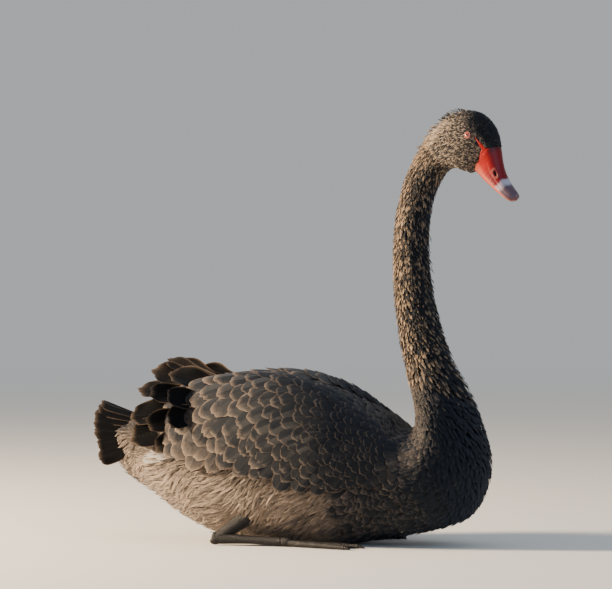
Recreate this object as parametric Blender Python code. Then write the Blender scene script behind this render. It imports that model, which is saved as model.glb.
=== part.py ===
"""Life-size model of a black swan afloat, resting on its belly with its feet tucked under. Metres, +Z up.

The bird heads along +X and its left side is +Y. The origin is under the middle of its bounding box, on the floor.
"""

import math

import bmesh
import bpy
from mathutils import Matrix, Vector

for old in list(bpy.data.objects):
    bpy.data.objects.remove(old, do_unlink=True)

# Driving dimensions
GAP = 0.0003                 # left between neighbouring pieces
ORIGIN_X = 0.028             # stations are measured from mid-body, this far behind the middle of the box
RING_SIDES = 24
TURN_X = 0.200               # upright axis about which the head is turned, from mid-body
HEAD_TURN = math.radians(-20)
EYE_RADIUS = 0.0058
EYE_FORWARD, EYE_HEIGHT, EYE_SIDE = 0.2800, 0.5500, 0.0206
LID_RADIUS, LID_THICKNESS = 0.0054, 0.0015
TARSUS_RADIUS = 0.0064
TOE_RADIUS = 0.0044
CLAW_LENGTH = 0.0095
WEB_THICKNESS = 0.0022
VANE_THICKNESS = 0.0010
LEAST_HALF_GAP = 0.0010      # a wing's feathers keep this far from the middle plane

# Cross-sections of the body from the rump to the forehead, each a half ellipse above and below its widest level.
# Columns: distance forward, height, slope of the spine in degrees, depth above, depth below, half width
BODY_STATIONS = (
    (-0.264, 0.146, 0, 0.009, 0.020, 0.014),
    (-0.240, 0.138, 0, 0.022, 0.044, 0.032),
    (-0.205, 0.131, 0, 0.042, 0.062, 0.050),
    (-0.165, 0.118, 0, 0.074, 0.074, 0.071),
    (-0.115, 0.106, 0, 0.102, 0.090, 0.092),
    (-0.055, 0.102, 0, 0.116, 0.099, 0.106),
    (0.005, 0.102, 0, 0.119, 0.104, 0.112),
    (0.060, 0.100, 0, 0.111, 0.102, 0.110),
    (0.102, 0.098, 0, 0.096, 0.096, 0.104),
    (0.140, 0.098, 0, 0.079, 0.089, 0.097),
    (0.179, 0.095, 15, 0.066, 0.079, 0.090),
    (0.215, 0.110, 30, 0.066, 0.079, 0.083),
    (0.2265, 0.1535, 45, 0.070, 0.076, 0.069),
    (0.217, 0.1955, 60, 0.057, 0.059, 0.053),
    (0.2046, 0.2263, 78, 0.042, 0.043, 0.041),
    (0.1955, 0.2449, 94, 0.035, 0.035, 0.035),
    (0.1890, 0.2610, 108, 0.0325, 0.0325, 0.0320),
    (0.1820, 0.2890, 104, 0.0305, 0.0305, 0.0300),
    (0.1740, 0.3285, 98, 0.0280, 0.0280, 0.0275),
    (0.1700, 0.3700, 92, 0.0263, 0.0263, 0.0260),
    (0.1695, 0.4110, 88, 0.0250, 0.0250, 0.0247),
    (0.1730, 0.4487, 80, 0.0243, 0.0243, 0.0240),
    (0.1795, 0.4775, 71, 0.0240, 0.0240, 0.0236),
    (0.1910, 0.5025, 58, 0.0246, 0.0246, 0.0236),
    (0.2070, 0.5230, 43, 0.0270, 0.0275, 0.0245),
    (0.2280, 0.5370, 24, 0.0330, 0.0330, 0.0265),
    (0.2500, 0.5440, 4, 0.0390, 0.0410, 0.0278),
    (0.2710, 0.5440, -14, 0.0380, 0.0430, 0.0268),
    (0.2870, 0.5358, -30, 0.0312, 0.0400, 0.0228),
    (0.2980, 0.5250, -43, 0.0205, 0.0285, 0.0165),
)
RUMP, NECK_ROOT, NECK_MIDDLE, NECK_TOP = 2.1, 13.6, 19.5, 24.6
FOREHEAD = float(len(BODY_STATIONS) - 1)
TURN_FROM, TURN_TO = 20.0, 24.0     # stations between which the neck twists to the head's heading

# The upper bill: culmen line and cutting edge as (forward, height), and half width
UPPER_BILL = (
    ((0.3030, 0.5330), (0.2830, 0.5100), 0.0125),
    ((0.3085, 0.5290), (0.2885, 0.5045), 0.0142),
    ((0.3145, 0.5160), (0.2975, 0.4960), 0.0140),
    ((0.3200, 0.5035), (0.3073, 0.4878), 0.0135),
    ((0.3262, 0.4920), (0.3165, 0.4802), 0.0131),
    ((0.3335, 0.4825), (0.3255, 0.4730), 0.0126),
    ((0.3400, 0.4762), (0.3325, 0.4680), 0.0108),
    ((0.3438, 0.4722), (0.3375, 0.4655), 0.0070),
    ((0.3452, 0.4700), (0.3412, 0.4662), 0.0036),
)
LOWER_BILL_DEPTHS = (0.0085, 0.0080, 0.0070, 0.0060, 0.0050, 0.0040, 0.0033, 0.0027, 0.0020)
LOWER_BILL_WIDTH = 0.86      # of the upper bill's
MOUTH_GAP = 0.0005
NOSTRIL = Vector((0.3172, 0.0098, 0.5012))
NOSTRIL_RADII = (0.0050, 0.0032, 0.0017)
BILL_PITCH = math.radians(52)       # the bill's slope down from level


def smooth_value(values, position):
    """The value at a fractional station, on one smooth curve through the stations."""
    last = len(values) - 1
    i = max(0, min(int(position), last - 1))
    t = position - i
    start, end = values[i], values[i + 1]
    slope_in = (end - values[max(i - 1, 0)]) / 2
    slope_out = (values[min(i + 2, last)] - start) / 2
    return (
        (2 * t**3 - 3 * t**2 + 1) * start
        + (t**3 - 2 * t**2 + t) * slope_in
        + (3 * t**2 - 2 * t**3) * end
        + (t**3 - t**2) * slope_out
    )


def ease(value, low, high):
    """0 below low, 1 above high, and a smooth step between them."""
    t = max(0.0, min(1.0, (value - low) / (high - low)))
    return t * t * (3 - 2 * t)


def turned(point, share=1.0):
    """The point turned about the head's upright axis, by a share of the head's turn."""
    axis = Vector((TURN_X, 0, 0))
    return Matrix.Rotation(HEAD_TURN * share, 3, "Z") @ (point - axis) + axis


def settled(point):
    """The point in the finished frame, with nothing under the floor."""
    return Vector((point.x - ORIGIN_X, point.y, max(point.z, 0.0)))


def head_place(x, y, z):
    """A point given in the head's own heading, in the finished frame."""
    return settled(turned(Vector((x, y, z))))


def body_point(station, around, grow=0.0, ahead=0.0):
    """A point of the body's surface. around is the angle from the back over the bird's right side to the belly."""
    x, z, slope, above, below, half = (
        smooth_value(column, station) for column in zip(*BODY_STATIONS)
    )
    slope = math.radians(slope)
    dorsal = Vector((-math.sin(slope), 0, math.cos(slope)))
    spine = Vector((math.cos(slope), 0, math.sin(slope)))
    lift = math.cos(around)
    depth = (above if lift > 0 else below) + grow
    point = Vector((x, 0, z)) + spine * ahead + dorsal * depth * lift
    point.y = -(half + grow) * math.sin(around)
    return settled(turned(point, ease(station, TURN_FROM, TURN_TO)))


def body_normal(station, around):
    """The outward unit normal of the body's surface."""
    step = 0.01
    along = body_point(station + step, around) - body_point(station - step, around)
    across = body_point(station, around + step) - body_point(station, around - step)
    return across.cross(along).normalized()


def walked(station, around, back, down):
    """The (station, around) reached by going back metres along the body and down metres round it."""
    step = 0.01
    along = (body_point(station + step, around) - body_point(station - step, around)).length
    across = (body_point(station, around + step) - body_point(station, around - step)).length
    return station - back * 2 * step / along, around + down * 2 * step / across


def new_object(name, points, faces):
    """A mesh object whose faces point outwards."""
    mesh = bpy.data.meshes.new(name)
    mesh.from_pydata([tuple(p) for p in points], [], faces)
    obj = bpy.data.objects.new(name, mesh)
    bpy.context.scene.collection.objects.link(obj)
    edit = bmesh.new()
    edit.from_mesh(mesh)
    bmesh.ops.remove_doubles(edit, verts=edit.verts, dist=1e-6)
    bmesh.ops.triangulate(edit, faces=[f for f in edit.faces if len(f.verts) > 4])
    bmesh.ops.recalc_face_normals(edit, faces=edit.faces)
    if edit.calc_volume(signed=True) < 0:
        bmesh.ops.reverse_faces(edit, faces=edit.faces)
    edit.to_mesh(mesh)
    edit.free()
    return obj


def lofted(name, rings):
    """A closed solid through rings of equally many points, with a flat face at each end."""
    sides = len(rings[0])
    faces = []
    for r in range(len(rings) - 1):
        for s in range(sides):
            t = (s + 1) % sides
            a, b = r * sides, (r + 1) * sides
            faces += [(a + s, a + t, b + t), (a + s, b + t, b + s)]
    faces.append(tuple(reversed(range(sides))))
    faces.append(tuple(range((len(rings) - 1) * sides, len(rings) * sides)))
    return new_object(name, [p for ring in rings for p in ring], faces)


def body_length(name, start, end, rings, grow=0.0, round_start=False, round_end=False):
    """A length of the body between two stations, half a gap short at each cut and domed at each free end."""
    made = []
    for r in range(rings + 1):
        station = start + (end - start) * r / rings
        ahead = (GAP / 2 - grow) * ((r == 0 and not round_start) - (r == rings and not round_end))
        made.append([
            body_point(station, math.tau * s / RING_SIDES, grow, ahead) for s in range(RING_SIDES)
        ])
    for wanted, station, way in ((round_start, start, -1), (round_end, end, 1)):
        if wanted:
            ring = [body_point(station, math.tau * s / RING_SIDES, grow, way * 0.005) for s in range(RING_SIDES)]
            centre = sum(ring, Vector()) / RING_SIDES
            dome = [p.lerp(centre, 0.35) for p in ring]
            made = [dome] + made if way < 0 else made + [dome]
    return lofted(name, made)


def tube(name, spots, radii, sides=10):
    """A tapered round rod through the spots, with a flat face at each end."""
    rings = []
    last = len(spots) - 1
    for k, (spot, radius) in enumerate(zip(spots, radii)):
        length = (spots[min(k + 1, last)] - spots[max(k - 1, 0)]).normalized()
        side = length.cross(Vector((0, 0, 1))).normalized()
        up = side.cross(length)
        rings.append([
            settled(spot + (side * math.cos(a) + up * math.sin(a)) * radius)
            for a in (math.tau * s / sides for s in range(sides))
        ])
    return lofted(name, rings)


def plate(name, rows, ups, thickness, room=0.0):
    """A thin closed plate under rows of three points across, thinning from its root to its tip."""
    last = len(rows) - 1
    points, faces = [], []
    for k, (row, up) in enumerate(zip(rows, ups)):
        deep = up * (thickness * (1.0 - 0.45 * k / last) + 2 * room)
        points += row + [p - deep for p in row]
    for k in range(last):
        a, b = 6 * k, 6 * (k + 1)
        for s in (0, 1):
            faces += [(a + s, a + s + 1, b + s), (a + s + 1, b + s + 1, b + s)]
            faces += [(a + s + 3, b + s + 3, a + s + 4), (a + s + 4, b + s + 3, b + s + 4)]
        faces += [(a, b, a + 3), (b, b + 3, a + 3)]
        faces += [(a + 2, a + 5, b + 2), (b + 2, a + 5, b + 5)]
    for end in (0, 6 * last):
        for s in (0, 1):
            faces += [(end + s, end + s + 3, end + s + 1), (end + s + 1, end + s + 3, end + s + 4)]
    return new_object(name, points, faces)


def vane(name, spots, normals, half_widths, thickness=VANE_THICKNESS, camber=0.0, roll=0.0, room=0.0):
    """A feather's vane as a thin plate, from its middle line, the normals there and its half widths.

    camber bows the edges down by that share of the half width, roll turns the plate about its length, and room
    is added on every side.
    """
    rows, ups = [], []
    last = len(spots) - 1
    for k, (spot, normal, half) in enumerate(zip(spots, normals, half_widths)):
        length = (spots[min(k + 1, last)] - spots[max(k - 1, 0)]).normalized()
        side = length.cross(normal).normalized()
        spin = Matrix.Rotation(roll, 3, length)
        side, up = spin @ side, spin @ side.cross(length)
        drop = up * (camber * half)
        spot = spot + up * room + length * room * ((k == last) - (k == 0))
        side = side * (half + room)
        rows.append([spot - side - drop, spot, spot + side - drop])
        ups.append(up)
    return plate(name, rows, ups, thickness, room)


def ellipsoid(name, centre, radii, turn=None, segments=14, rings=8):
    bpy.ops.mesh.primitive_uv_sphere_add(segments=segments, ring_count=rings, radius=1)
    obj = bpy.context.object
    obj.name = name
    turn = (turn or Matrix.Identity(3)).to_4x4()
    obj.data.transform(Matrix.Translation(centre) @ turn @ Matrix.Diagonal((*radii, 1)))
    return obj


def apply_boolean(obj, operation, solver="EXACT", other=None, collection=None):
    modifier = obj.modifiers.new(operation.title(), "BOOLEAN")
    modifier.operation = operation
    modifier.solver = solver
    if collection:
        modifier.operand_type = "COLLECTION"
        modifier.collection = collection
    else:
        modifier.object = other
    bpy.context.view_layer.objects.active = obj
    bpy.ops.object.modifier_apply(modifier=modifier.name)


def cut(obj, *cutters):
    """Cuts the solids from obj and removes them."""
    for cutter in cutters:
        apply_boolean(obj, "DIFFERENCE", other=cutter)
        bpy.data.objects.remove(cutter)


def keep_largest(obj):
    """Drops every closed surface but the largest."""
    edit = bmesh.new()
    edit.from_mesh(obj.data)
    unseen = set(edit.faces)
    shells = []
    while unseen:
        shell, front = set(), [unseen.pop()]
        while front:
            face = front.pop()
            shell.add(face)
            for edge in face.edges:
                for other in edge.link_faces:
                    if other in unseen:
                        unseen.discard(other)
                        front.append(other)
        shells.append(shell)
    largest = max(shells, key=lambda shell: sum(f.calc_area() for f in shell))
    bmesh.ops.delete(edit, geom=[f for f in edit.faces if f not in largest], context="FACES")
    edit.to_mesh(obj.data)
    edit.free()


def fused(base, parts, solver="EXACT"):
    """One solid of base and parts, which are removed."""
    group = bpy.data.collections.new("parts")
    for part in parts:
        group.objects.link(part)
    apply_boolean(base, "UNION", solver, collection=group)
    for part in parts:
        bpy.data.objects.remove(part)
    bpy.data.collections.remove(group)
    keep_largest(base)
    return base


def mirrored(obj, name):
    """The same solid on the bird's other side."""
    mesh = obj.data.copy()
    other = bpy.data.objects.new(name, mesh)
    bpy.context.scene.collection.objects.link(other)
    edit = bmesh.new()
    edit.from_mesh(mesh)
    for vertex in edit.verts:
        vertex.co.y = -vertex.co.y
    bmesh.ops.reverse_faces(edit, faces=edit.faces)
    edit.to_mesh(mesh)
    edit.free()
    return other


def material_of(name, colour, roughness):
    material = bpy.data.materials.new(name)
    material.use_nodes = True
    shader = material.node_tree.nodes["Principled BSDF"]
    shader.inputs["Base Color"].default_value = (*colour, 1)
    shader.inputs["Roughness"].default_value = roughness
    shader.inputs["Metallic"].default_value = 0.0
    return material


swan = bpy.data.objects.new("swan", None)
bpy.context.scene.collection.objects.link(swan)


def finished(obj, material):
    """Gives the solid its material and smooth shading, and joins it to the bird."""
    obj.data.materials.clear()
    obj.data.materials.append(material)
    obj.data.shade_smooth()
    obj.data.set_sharp_from_angle(angle=math.radians(40))
    obj.parent = swan
    return obj


plumage = material_of("sooty plumage", (0.045, 0.037, 0.032), 0.75)
wing_plumage = material_of("fringed wing plumage", (0.062, 0.050, 0.042), 0.7)
bill_red = material_of("red bill", (0.62, 0.035, 0.03), 0.32)
eye_red = material_of("red eye", (0.60, 0.10, 0.05), 0.1)
leg_skin = material_of("slate leg skin", (0.045, 0.043, 0.045), 0.55)
claw_horn = material_of("claw horn", (0.03, 0.028, 0.026), 0.4)


# Torso and neck
TORSO_RINGS, NECK_RINGS = 21, 8


def torso_solid(name, grow=0.0):
    return body_length(name, RUMP, NECK_ROOT, TORSO_RINGS, grow)


finished(torso_solid("torso"), plumage)
finished(body_length("neck_lower", NECK_ROOT, NECK_MIDDLE, NECK_RINGS), plumage)
finished(body_length("neck_upper", NECK_MIDDLE, NECK_TOP, NECK_RINGS), plumage)


# Bill, eyes and head
def bill_section(station):
    """The culmen point, the cutting edge point, both as upright vectors of the middle plane, and the half width."""
    top = Vector([smooth_value([row[0][a] for row in UPPER_BILL], station) for a in (0, 1)])
    low = Vector([smooth_value([row[1][a] for row in UPPER_BILL], station) for a in (0, 1)])
    return top, low, smooth_value([row[2] for row in UPPER_BILL], station)


def bill_ahead(station, last):
    """How far a section of a grown bill moves along the bill, to stand off each end."""
    along = Vector((math.cos(BILL_PITCH), -math.sin(BILL_PITCH)))
    return along * ((station == last) - (station == 0))


def upper_bill(name, grow=0.0):
    """The upper mandible: a low vault from the forehead to a broad, rounded tip."""
    vault = 9
    last = len(UPPER_BILL) - 1
    rings = []
    for i in range(2 * last + 1):
        top, low, half = bill_section(i / 2)
        up = (top - low).normalized()
        shift = bill_ahead(i / 2, last) * grow
        top, low, half = top + up * grow + shift, low - up * grow + shift, half + grow
        ring = []
        for k in range(vault):
            angle = math.pi * k / (vault - 1)
            spot = low.lerp(top, math.sin(angle) ** 0.75)
            ring.append(head_place(spot.x, half * math.cos(angle), spot.y))
        for share in (-0.5, 0.0, 0.5):
            ring.append(head_place(low.x, half * share, low.y))
        rings.append(ring)
    return lofted(name, rings)


def lower_bill(name, grow=0.0):
    """The lower mandible, a shallow trough that closes against the upper one."""
    trough = 7
    last = len(UPPER_BILL) - 1
    rings = []
    for i in range(last + 1):
        top, low, half = bill_section(i)
        up = (top - low).normalized()
        edge = low - up * (MOUTH_GAP - grow) + bill_ahead(i, last) * grow
        half = half * LOWER_BILL_WIDTH + grow
        ring = []
        for k in range(trough):
            angle = math.pi * k / (trough - 1)
            spot = edge - up * (LOWER_BILL_DEPTHS[i] + 2 * grow) * math.sin(angle) ** 0.8
            ring.append(head_place(spot.x, half * math.cos(angle), spot.y))
        for share in (-0.4, 0.4):
            ring.append(head_place(edge.x, half * share, edge.y))
        rings.append(ring)
    return lofted(name, rings)


def eyeball(name, side, grow=0.0):
    centre = head_place(EYE_FORWARD, side * EYE_SIDE, EYE_HEIGHT)
    return ellipsoid(name, centre, (EYE_RADIUS + grow,) * 3)


def lid(side):
    """A ring of bare skin round one eye."""
    bpy.ops.mesh.primitive_torus_add(
        major_radius=LID_RADIUS, minor_radius=LID_THICKNESS, major_segments=14, minor_segments=5,
    )
    ring = bpy.context.object
    facing = Matrix.Rotation(HEAD_TURN, 3, "Z") @ Vector((0.16, side, 0.08)).normalized()
    place = head_place(EYE_FORWARD, side * EYE_SIDE, EYE_HEIGHT) + facing * (EYE_RADIUS * 0.52)
    ring.data.transform(Matrix.Translation(place) @ facing.to_track_quat("Z", "Y").to_matrix().to_4x4())
    return ring


def nostril_room(side):
    centre = head_place(NOSTRIL.x, side * NOSTRIL.y, NOSTRIL.z)
    turn = Matrix.Rotation(HEAD_TURN, 3, "Z") @ Matrix.Rotation(BILL_PITCH, 3, "Y")
    return ellipsoid("nostril_room", centre, NOSTRIL_RADII, turn, 12, 8)


head = body_length("head", NECK_TOP, FOREHEAD, 14, round_end=True)
fused(head, [lid(-1), lid(1)])
cut(head, eyeball("eye_room", -1, GAP), eyeball("eye_room", 1, GAP))
cut(head, upper_bill("bill_room", GAP), lower_bill("bill_room", GAP))
keep_largest(head)
finished(head, plumage)
upper = upper_bill("bill_upper")
cut(upper, nostril_room(-1), nostril_room(1))
finished(upper, bill_red)
finished(lower_bill("bill_lower"), bill_red)
finished(eyeball("eye_right", -1), eye_red)
finished(eyeball("eye_left", 1), eye_red)


# The folded wings: body station, edges round the body in degrees, and how far the wing swells off the body
WING_SPAN = (
    (3.0, 9, 74, 0.006),
    (3.5, 9, 74, 0.016),
    (4.0, 9, 74, 0.024),
    (5.0, 9, 76, 0.026),
    (6.0, 9, 84, 0.022),
    (7.0, 12, 90, 0.015),
    (8.0, 20, 92, 0.009),
    (9.0, 31, 92, 0.004),
    (10.0, 40, 90, 0.003),
    (10.7, 54, 80, 0.001),
)
WING_RIM = 0.004             # the wing's thickness at its edges


def wing_at(station):
    """(upper edge, lower edge, swell) of the folded wing at a body station, the edges as angles."""
    place = 0.0
    for i in range(len(WING_SPAN) - 1):
        low, high = WING_SPAN[i][0], WING_SPAN[i + 1][0]
        if station >= low:
            place = i + min(1.0, (station - low) / (high - low))
    _, upper_edge, lower_edge, swell = (smooth_value(column, place) for column in zip(*WING_SPAN))
    return math.radians(upper_edge), math.radians(lower_edge), swell


def wing_point(station, around, height=0.0):
    """A point that far outside the folded wing."""
    upper_edge, lower_edge, swell = wing_at(station)
    t = (around - upper_edge) / (lower_edge - upper_edge)
    crown = ease(t, -0.06, 0.34) * (1 - 0.5 * ease(t, 0.35, 1.0)) * (1 - 0.6 * ease(t, 0.85, 1.0))
    off = WING_RIM + swell * crown + height
    return body_point(station, around) + body_normal(station, around) * off


def wing_shell(name):
    """The folded wing: a curved plate that lies on the body, sunk in it for the torso's cut."""
    along, across, sunk = 12, 6, 0.003
    first, last = WING_SPAN[0][0], WING_SPAN[-1][0]
    outer, inner = [], []
    for i in range(along + 1):
        station = first + (last - first) * i / along
        upper_edge, lower_edge, _ = wing_at(station)
        for j in range(across + 1):
            around = upper_edge + (lower_edge - upper_edge) * j / across
            outer.append(wing_point(station, around))
            inner.append(body_point(station, around) - body_normal(station, around) * sunk)
    wide = across + 1
    half = len(outer)
    faces = []
    for i in range(along):
        for j in range(across):
            a, b = i * wide + j, (i + 1) * wide + j
            faces += [(a, a + 1, b), (a + 1, b + 1, b)]
            faces += [(half + a, half + b, half + a + 1), (half + a + 1, half + b, half + b + 1)]
    rim = [i * wide for i in range(along)] + [along * wide + j for j in range(across)]
    rim += [i * wide + across for i in range(along, 0, -1)] + [j for j in range(across, 0, -1)]
    for a, b in zip(rim, rim[1:] + rim[:1]):
        faces += [(a, b, half + a), (b, half + b, half + a)]
    return new_object(name, outer + inner, faces)


def rump_solid(name, grow=0.0):
    return body_length(name, 0.0, RUMP, 6, grow, round_start=True)


# The tail: its coverts as a solid of the body's own shape, and a tented fan of rectrices
TAIL_ORIGIN_X, TAIL_ORIGIN_Z = -0.175, 0.148
TAIL_START_X = -0.2050       # where the feathers start, inside the coverts
TAIL_SPREAD, TAIL_RISE, TAIL_DROOP = math.radians(38), math.radians(22), math.radians(36)
RECTRICES = 12
RECTRIX_LENGTH, RECTRIX_HALF = 0.109, 0.0135
RECTRIX_STEP = 0.0018        # each one lies this much under its inner neighbour


def tail_point(spread, reach):
    """A point of the tented fan, at an angle from straight back and a distance from the fan's origin."""
    t = spread / TAIL_SPREAD
    rise = TAIL_RISE - TAIL_DROOP * t * t
    flat = reach * math.cos(rise)
    return settled(Vector((
        TAIL_ORIGIN_X - flat * math.cos(spread),
        -0.008 * t - flat * math.sin(spread),
        TAIL_ORIGIN_Z - 0.012 * t * t + reach * math.sin(rise),
    )))


def rectrices(room=0.0):
    made = []
    for k in range(RECTRICES):
        t = 2 * (k + 0.5) / RECTRICES - 1
        spread = TAIL_SPREAD * t
        start = (TAIL_ORIGIN_X - TAIL_START_X) / math.cos(spread)
        end = RECTRIX_LENGTH * (1 - 0.14 * t * t)
        under = RECTRIX_STEP * RECTRICES / 2 * abs(t)
        spots, normals = [], []
        for s in range(4):
            reach = start + (end - start) * s / 3
            spot = tail_point(spread, reach)
            across = tail_point(spread - 0.02, reach) - tail_point(spread + 0.02, reach)
            normal = (tail_point(spread, reach + 0.01) - spot).cross(across).normalized()
            normal = normal if normal.z > 0 else -normal
            spots.append(spot - normal * under)
            normals.append(normal)
        widths = [RECTRIX_HALF * w for w in (0.60, 0.95, 1.0, 0.55)]
        roll = math.radians(5) * (1 if t > 0 else -1)
        made.append(vane("rectrix", spots, normals, widths, camber=0.10, roll=roll, room=room))
    return made


def tail_solid(name, room=0.0):
    return fused(rump_solid(name, room), rectrices(room), "MANIFOLD")


finished(tail_solid("tail"), wing_plumage)


# The feathers that lie on the wings
COVERT_ROWS = 5
COVERT_FIRST, COVERT_LAST = 4.35, 8.5     # stations of the roots of the rearmost and foremost tiers
COVERT_LENGTH, COVERT_SHRINK = 0.070, 0.62     # the rearmost tier's, and the foremost tier's share of it
COVERT_HALF = 0.0210
COVERT_TOP, COVERT_BREADTH = 0.08, 0.77   # where their roots start across the wing, and how much they cover
VANE_LIFTS = (-0.0036, 0.0030, 0.0044, 0.0048)     # heights over the wing along a lying vane
EDGE_LIFT = 0.0016           # a lying vane's upper edge is this much higher than its middle, and its lower one lower


def lying_vane(name, station, around, length, half, slant, sink=0.0):
    """A round-tipped vane that lies back along the wing, one edge over its neighbour, slanting down by an angle."""
    rows, ups = [], []
    shares = (0.28, 0.45, 0.27, 0.0)
    widths = (0.28, 0.96, 0.96, 0.42)
    for lift, share, width in zip(VANE_LIFTS, shares, widths):
        row = []
        for side in (-1, 0, 1):
            aside = half * width * side
            spot = walked(station, around, -aside * math.sin(slant), aside * math.cos(slant))
            row.append(wing_point(*spot, lift - sink - EDGE_LIFT * width * side))
        rows.append(row)
        ups.append(body_normal(station, around))
        reach = length * share
        station, around = walked(station, around, reach * math.cos(slant), reach * math.sin(slant))
    return plate(name, rows, ups, VANE_THICKNESS)


def covert_vanes():
    """Tiers of scalloped coverts, each tier over the roots of the one behind it."""
    made = []
    for row in range(COVERT_ROWS):
        share = row / (COVERT_ROWS - 1)
        station = COVERT_FIRST + (COVERT_LAST - COVERT_FIRST) * share
        size = 1 - (1 - COVERT_SHRINK) * share
        upper_edge, lower_edge, _ = wing_at(station)
        ring = [wing_point(station, upper_edge + (lower_edge - upper_edge) * k / 8) for k in range(9)]
        breadth = sum((b - a).length for a, b in zip(ring, ring[1:]))
        half = COVERT_HALF * size
        count = round(COVERT_BREADTH * breadth / (1.6 * half))
        for k in range(count):
            t = COVERT_TOP + COVERT_BREADTH * (k + 0.5 + 0.3 * (row % 2 - 0.5)) / count
            around = upper_edge + (lower_edge - upper_edge) * t
            made.append(lying_vane("covert", station, around, COVERT_LENGTH * size, half, 0.02 + 0.62 * t))
    return made


def primary_vanes():
    """The tips of the primaries, which lie along the rump under the wing's lower edge."""
    return [
        lying_vane("primary", 3.75 - 0.05 * k, math.radians(62 + 8 * k), 0.080, 0.0100, 0.20, 0.0014 + 0.0012 * k)
        for k in range(3)
    ]


# Feathers that leave the wing behind: root (forward, side, height); heading out from straight back, rise, bend up
# along the length and roll about it in degrees; length, half width, and how far the edges bow down
TERTIALS = (
    ((-0.098, 0.034, 0.213), 2, 9, 6, 42, 0.093, 0.020, -0.22),
    ((-0.076, 0.050, 0.212), 6, 8, 8, 42, 0.082, 0.019, -0.26),
    ((-0.108, 0.040, 0.203), 3, -4, 14, 38, 0.098, 0.021, -0.22),
    ((-0.114, 0.054, 0.187), 6, -15, 14, 54, 0.098, 0.021, -0.24),
    ((-0.116, 0.064, 0.168), 4, -20, 12, 68, 0.096, 0.021, -0.22),
    ((-0.092, 0.068, 0.196), 18, -10, 50, 62, 0.066, 0.017, -0.34),
    ((-0.092, 0.076, 0.180), 20, -16, 44, 76, 0.064, 0.017, -0.34),
)


def free_vane(name, root, heading, rise, bend, roll, length, half, camber):
    """A broad feather that leaves the wing and curls out to a round tip."""
    steps = (0.24, 0.24, 0.20, 0.16, 0.10, 0.06)
    heading = math.radians(heading)
    tangent = Vector((-math.cos(heading), -math.sin(heading), math.tan(math.radians(rise)))).normalized()
    side = tangent.cross(Vector((0, 0, 1))).normalized()
    normal = Matrix.Rotation(math.radians(-roll), 3, tangent) @ side.cross(tangent)
    spot = settled(Vector((root[0], -root[1], root[2])))
    spots, normals = [spot], [normal]
    for step in steps:
        turn = Matrix.Rotation(math.radians(bend) * step, 3, tangent.cross(normal))
        tangent, normal = turn @ tangent, turn @ normal
        spot = spot + tangent * (length * step)
        spots.append(spot)
        normals.append(normal)
    widths = [half * w for w in (0.50, 0.85, 1.0, 1.0, 0.90, 0.66, 0.30)]
    return vane(name, spots, normals, widths, thickness=1.3 * VANE_THICKNESS, camber=camber)


def far_side():
    """A block that holds everything past the middle plane."""
    bpy.ops.mesh.primitive_cube_add(size=1, location=(0, 0.5 - LEAST_HALF_GAP, 0.3))
    return bpy.context.object


def wing(name):
    obj = wing_shell(name)
    feathers = covert_vanes() + primary_vanes()
    feathers += [free_vane("tertial", *row) for row in TERTIALS]
    fused(obj, feathers, "MANIFOLD")
    cut(obj, torso_solid("torso_room", GAP), tail_solid("tail_room", GAP), far_side())
    keep_largest(obj)
    return obj


wing_right = wing("wing_right")
finished(wing_right, wing_plumage)
finished(mirrored(wing_right, "wing_left"), wing_plumage)

# Legs folded along the belly, with the feet flat on the floor beneath it
HEEL = Vector((-0.075, -0.088, 0.0098))
SHANK_END = Vector((0.016, -0.084, 0.0068))
SHANK_AHEAD = (SHANK_END - HEEL).normalized()
THIGH_START = Vector((-0.018, -0.068, 0.052))
TOES = {                     # heading away from straight ahead in degrees, and length
    "inner": (-15, 0.082),
    "middle": (1, 0.104),
    "outer": (17, 0.098),
}
WEB_REACH = {"inner": 0.94, "middle": 0.93, "outer": 0.95}


def toe_line(toe, share, lift=0.0):
    """A point along a toe's middle line."""
    heading, length = TOES[toe]
    angle = math.radians(heading)
    start = SHANK_END + Vector((0.006, 0, 0))
    reach = length * share
    height = TOE_RADIUS * (1.25 - 0.45 * share)
    return Vector((start.x + reach * math.cos(angle), start.y - reach * math.sin(angle), height + lift))


def web(first, second):
    """The skin between two toes, scalloped along its front edge."""
    rows = 6
    rings = []
    for s in range(rows + 1):
        share = 0.06 + 0.88 * s / rows
        a = toe_line(first, share * WEB_REACH[first])
        b = toe_line(second, share * WEB_REACH[second])
        middle = a.lerp(b, 0.5)
        middle.x -= 0.010 * share * share
        top = [Vector((p.x, p.y, 0.0008 + WEB_THICKNESS)) for p in (a, middle, b)]
        rings.append([settled(p) for p in top + [p - Vector((0, 0, WEB_THICKNESS)) for p in reversed(top)]])
    return lofted("web", rings)


def foot(name):
    ball = tube(
        name,
        [SHANK_END + SHANK_AHEAD * reach for reach in (GAP, 0.006, 0.014)],
        (TARSUS_RADIUS, TARSUS_RADIUS * 1.05, TARSUS_RADIUS * 0.7),
    )
    pieces = [
        tube(toe, [toe_line(toe, s / 4) for s in range(5)], [TOE_RADIUS * (1.1 - 0.42 * s / 4) for s in range(5)])
        for toe in TOES
    ]
    pieces += [web("inner", "middle"), web("middle", "outer")]
    hallux = [SHANK_END + Vector(step) for step in ((0.008, 0.002, 0.0), (0.004, 0.012, -0.001), (-0.004, 0.019, -0.003))]
    pieces.append(tube("hallux", hallux, (0.0036, 0.0030, 0.0022)))
    return fused(ball, pieces)


def claw(name, toe):
    """A blunt nail that goes on from a toe's flat end."""
    end = toe_line(toe, 1.0)
    ahead = (end - toe_line(toe, 0.9)).normalized()
    spots = [end + ahead * (GAP + CLAW_LENGTH * s) - Vector((0, 0, 0.0022 * s * s)) for s in (0, 0.35, 0.7, 1.0)]
    return tube(name, spots, (0.0024, 0.0021, 0.0014, 0.0005), sides=8)


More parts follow.
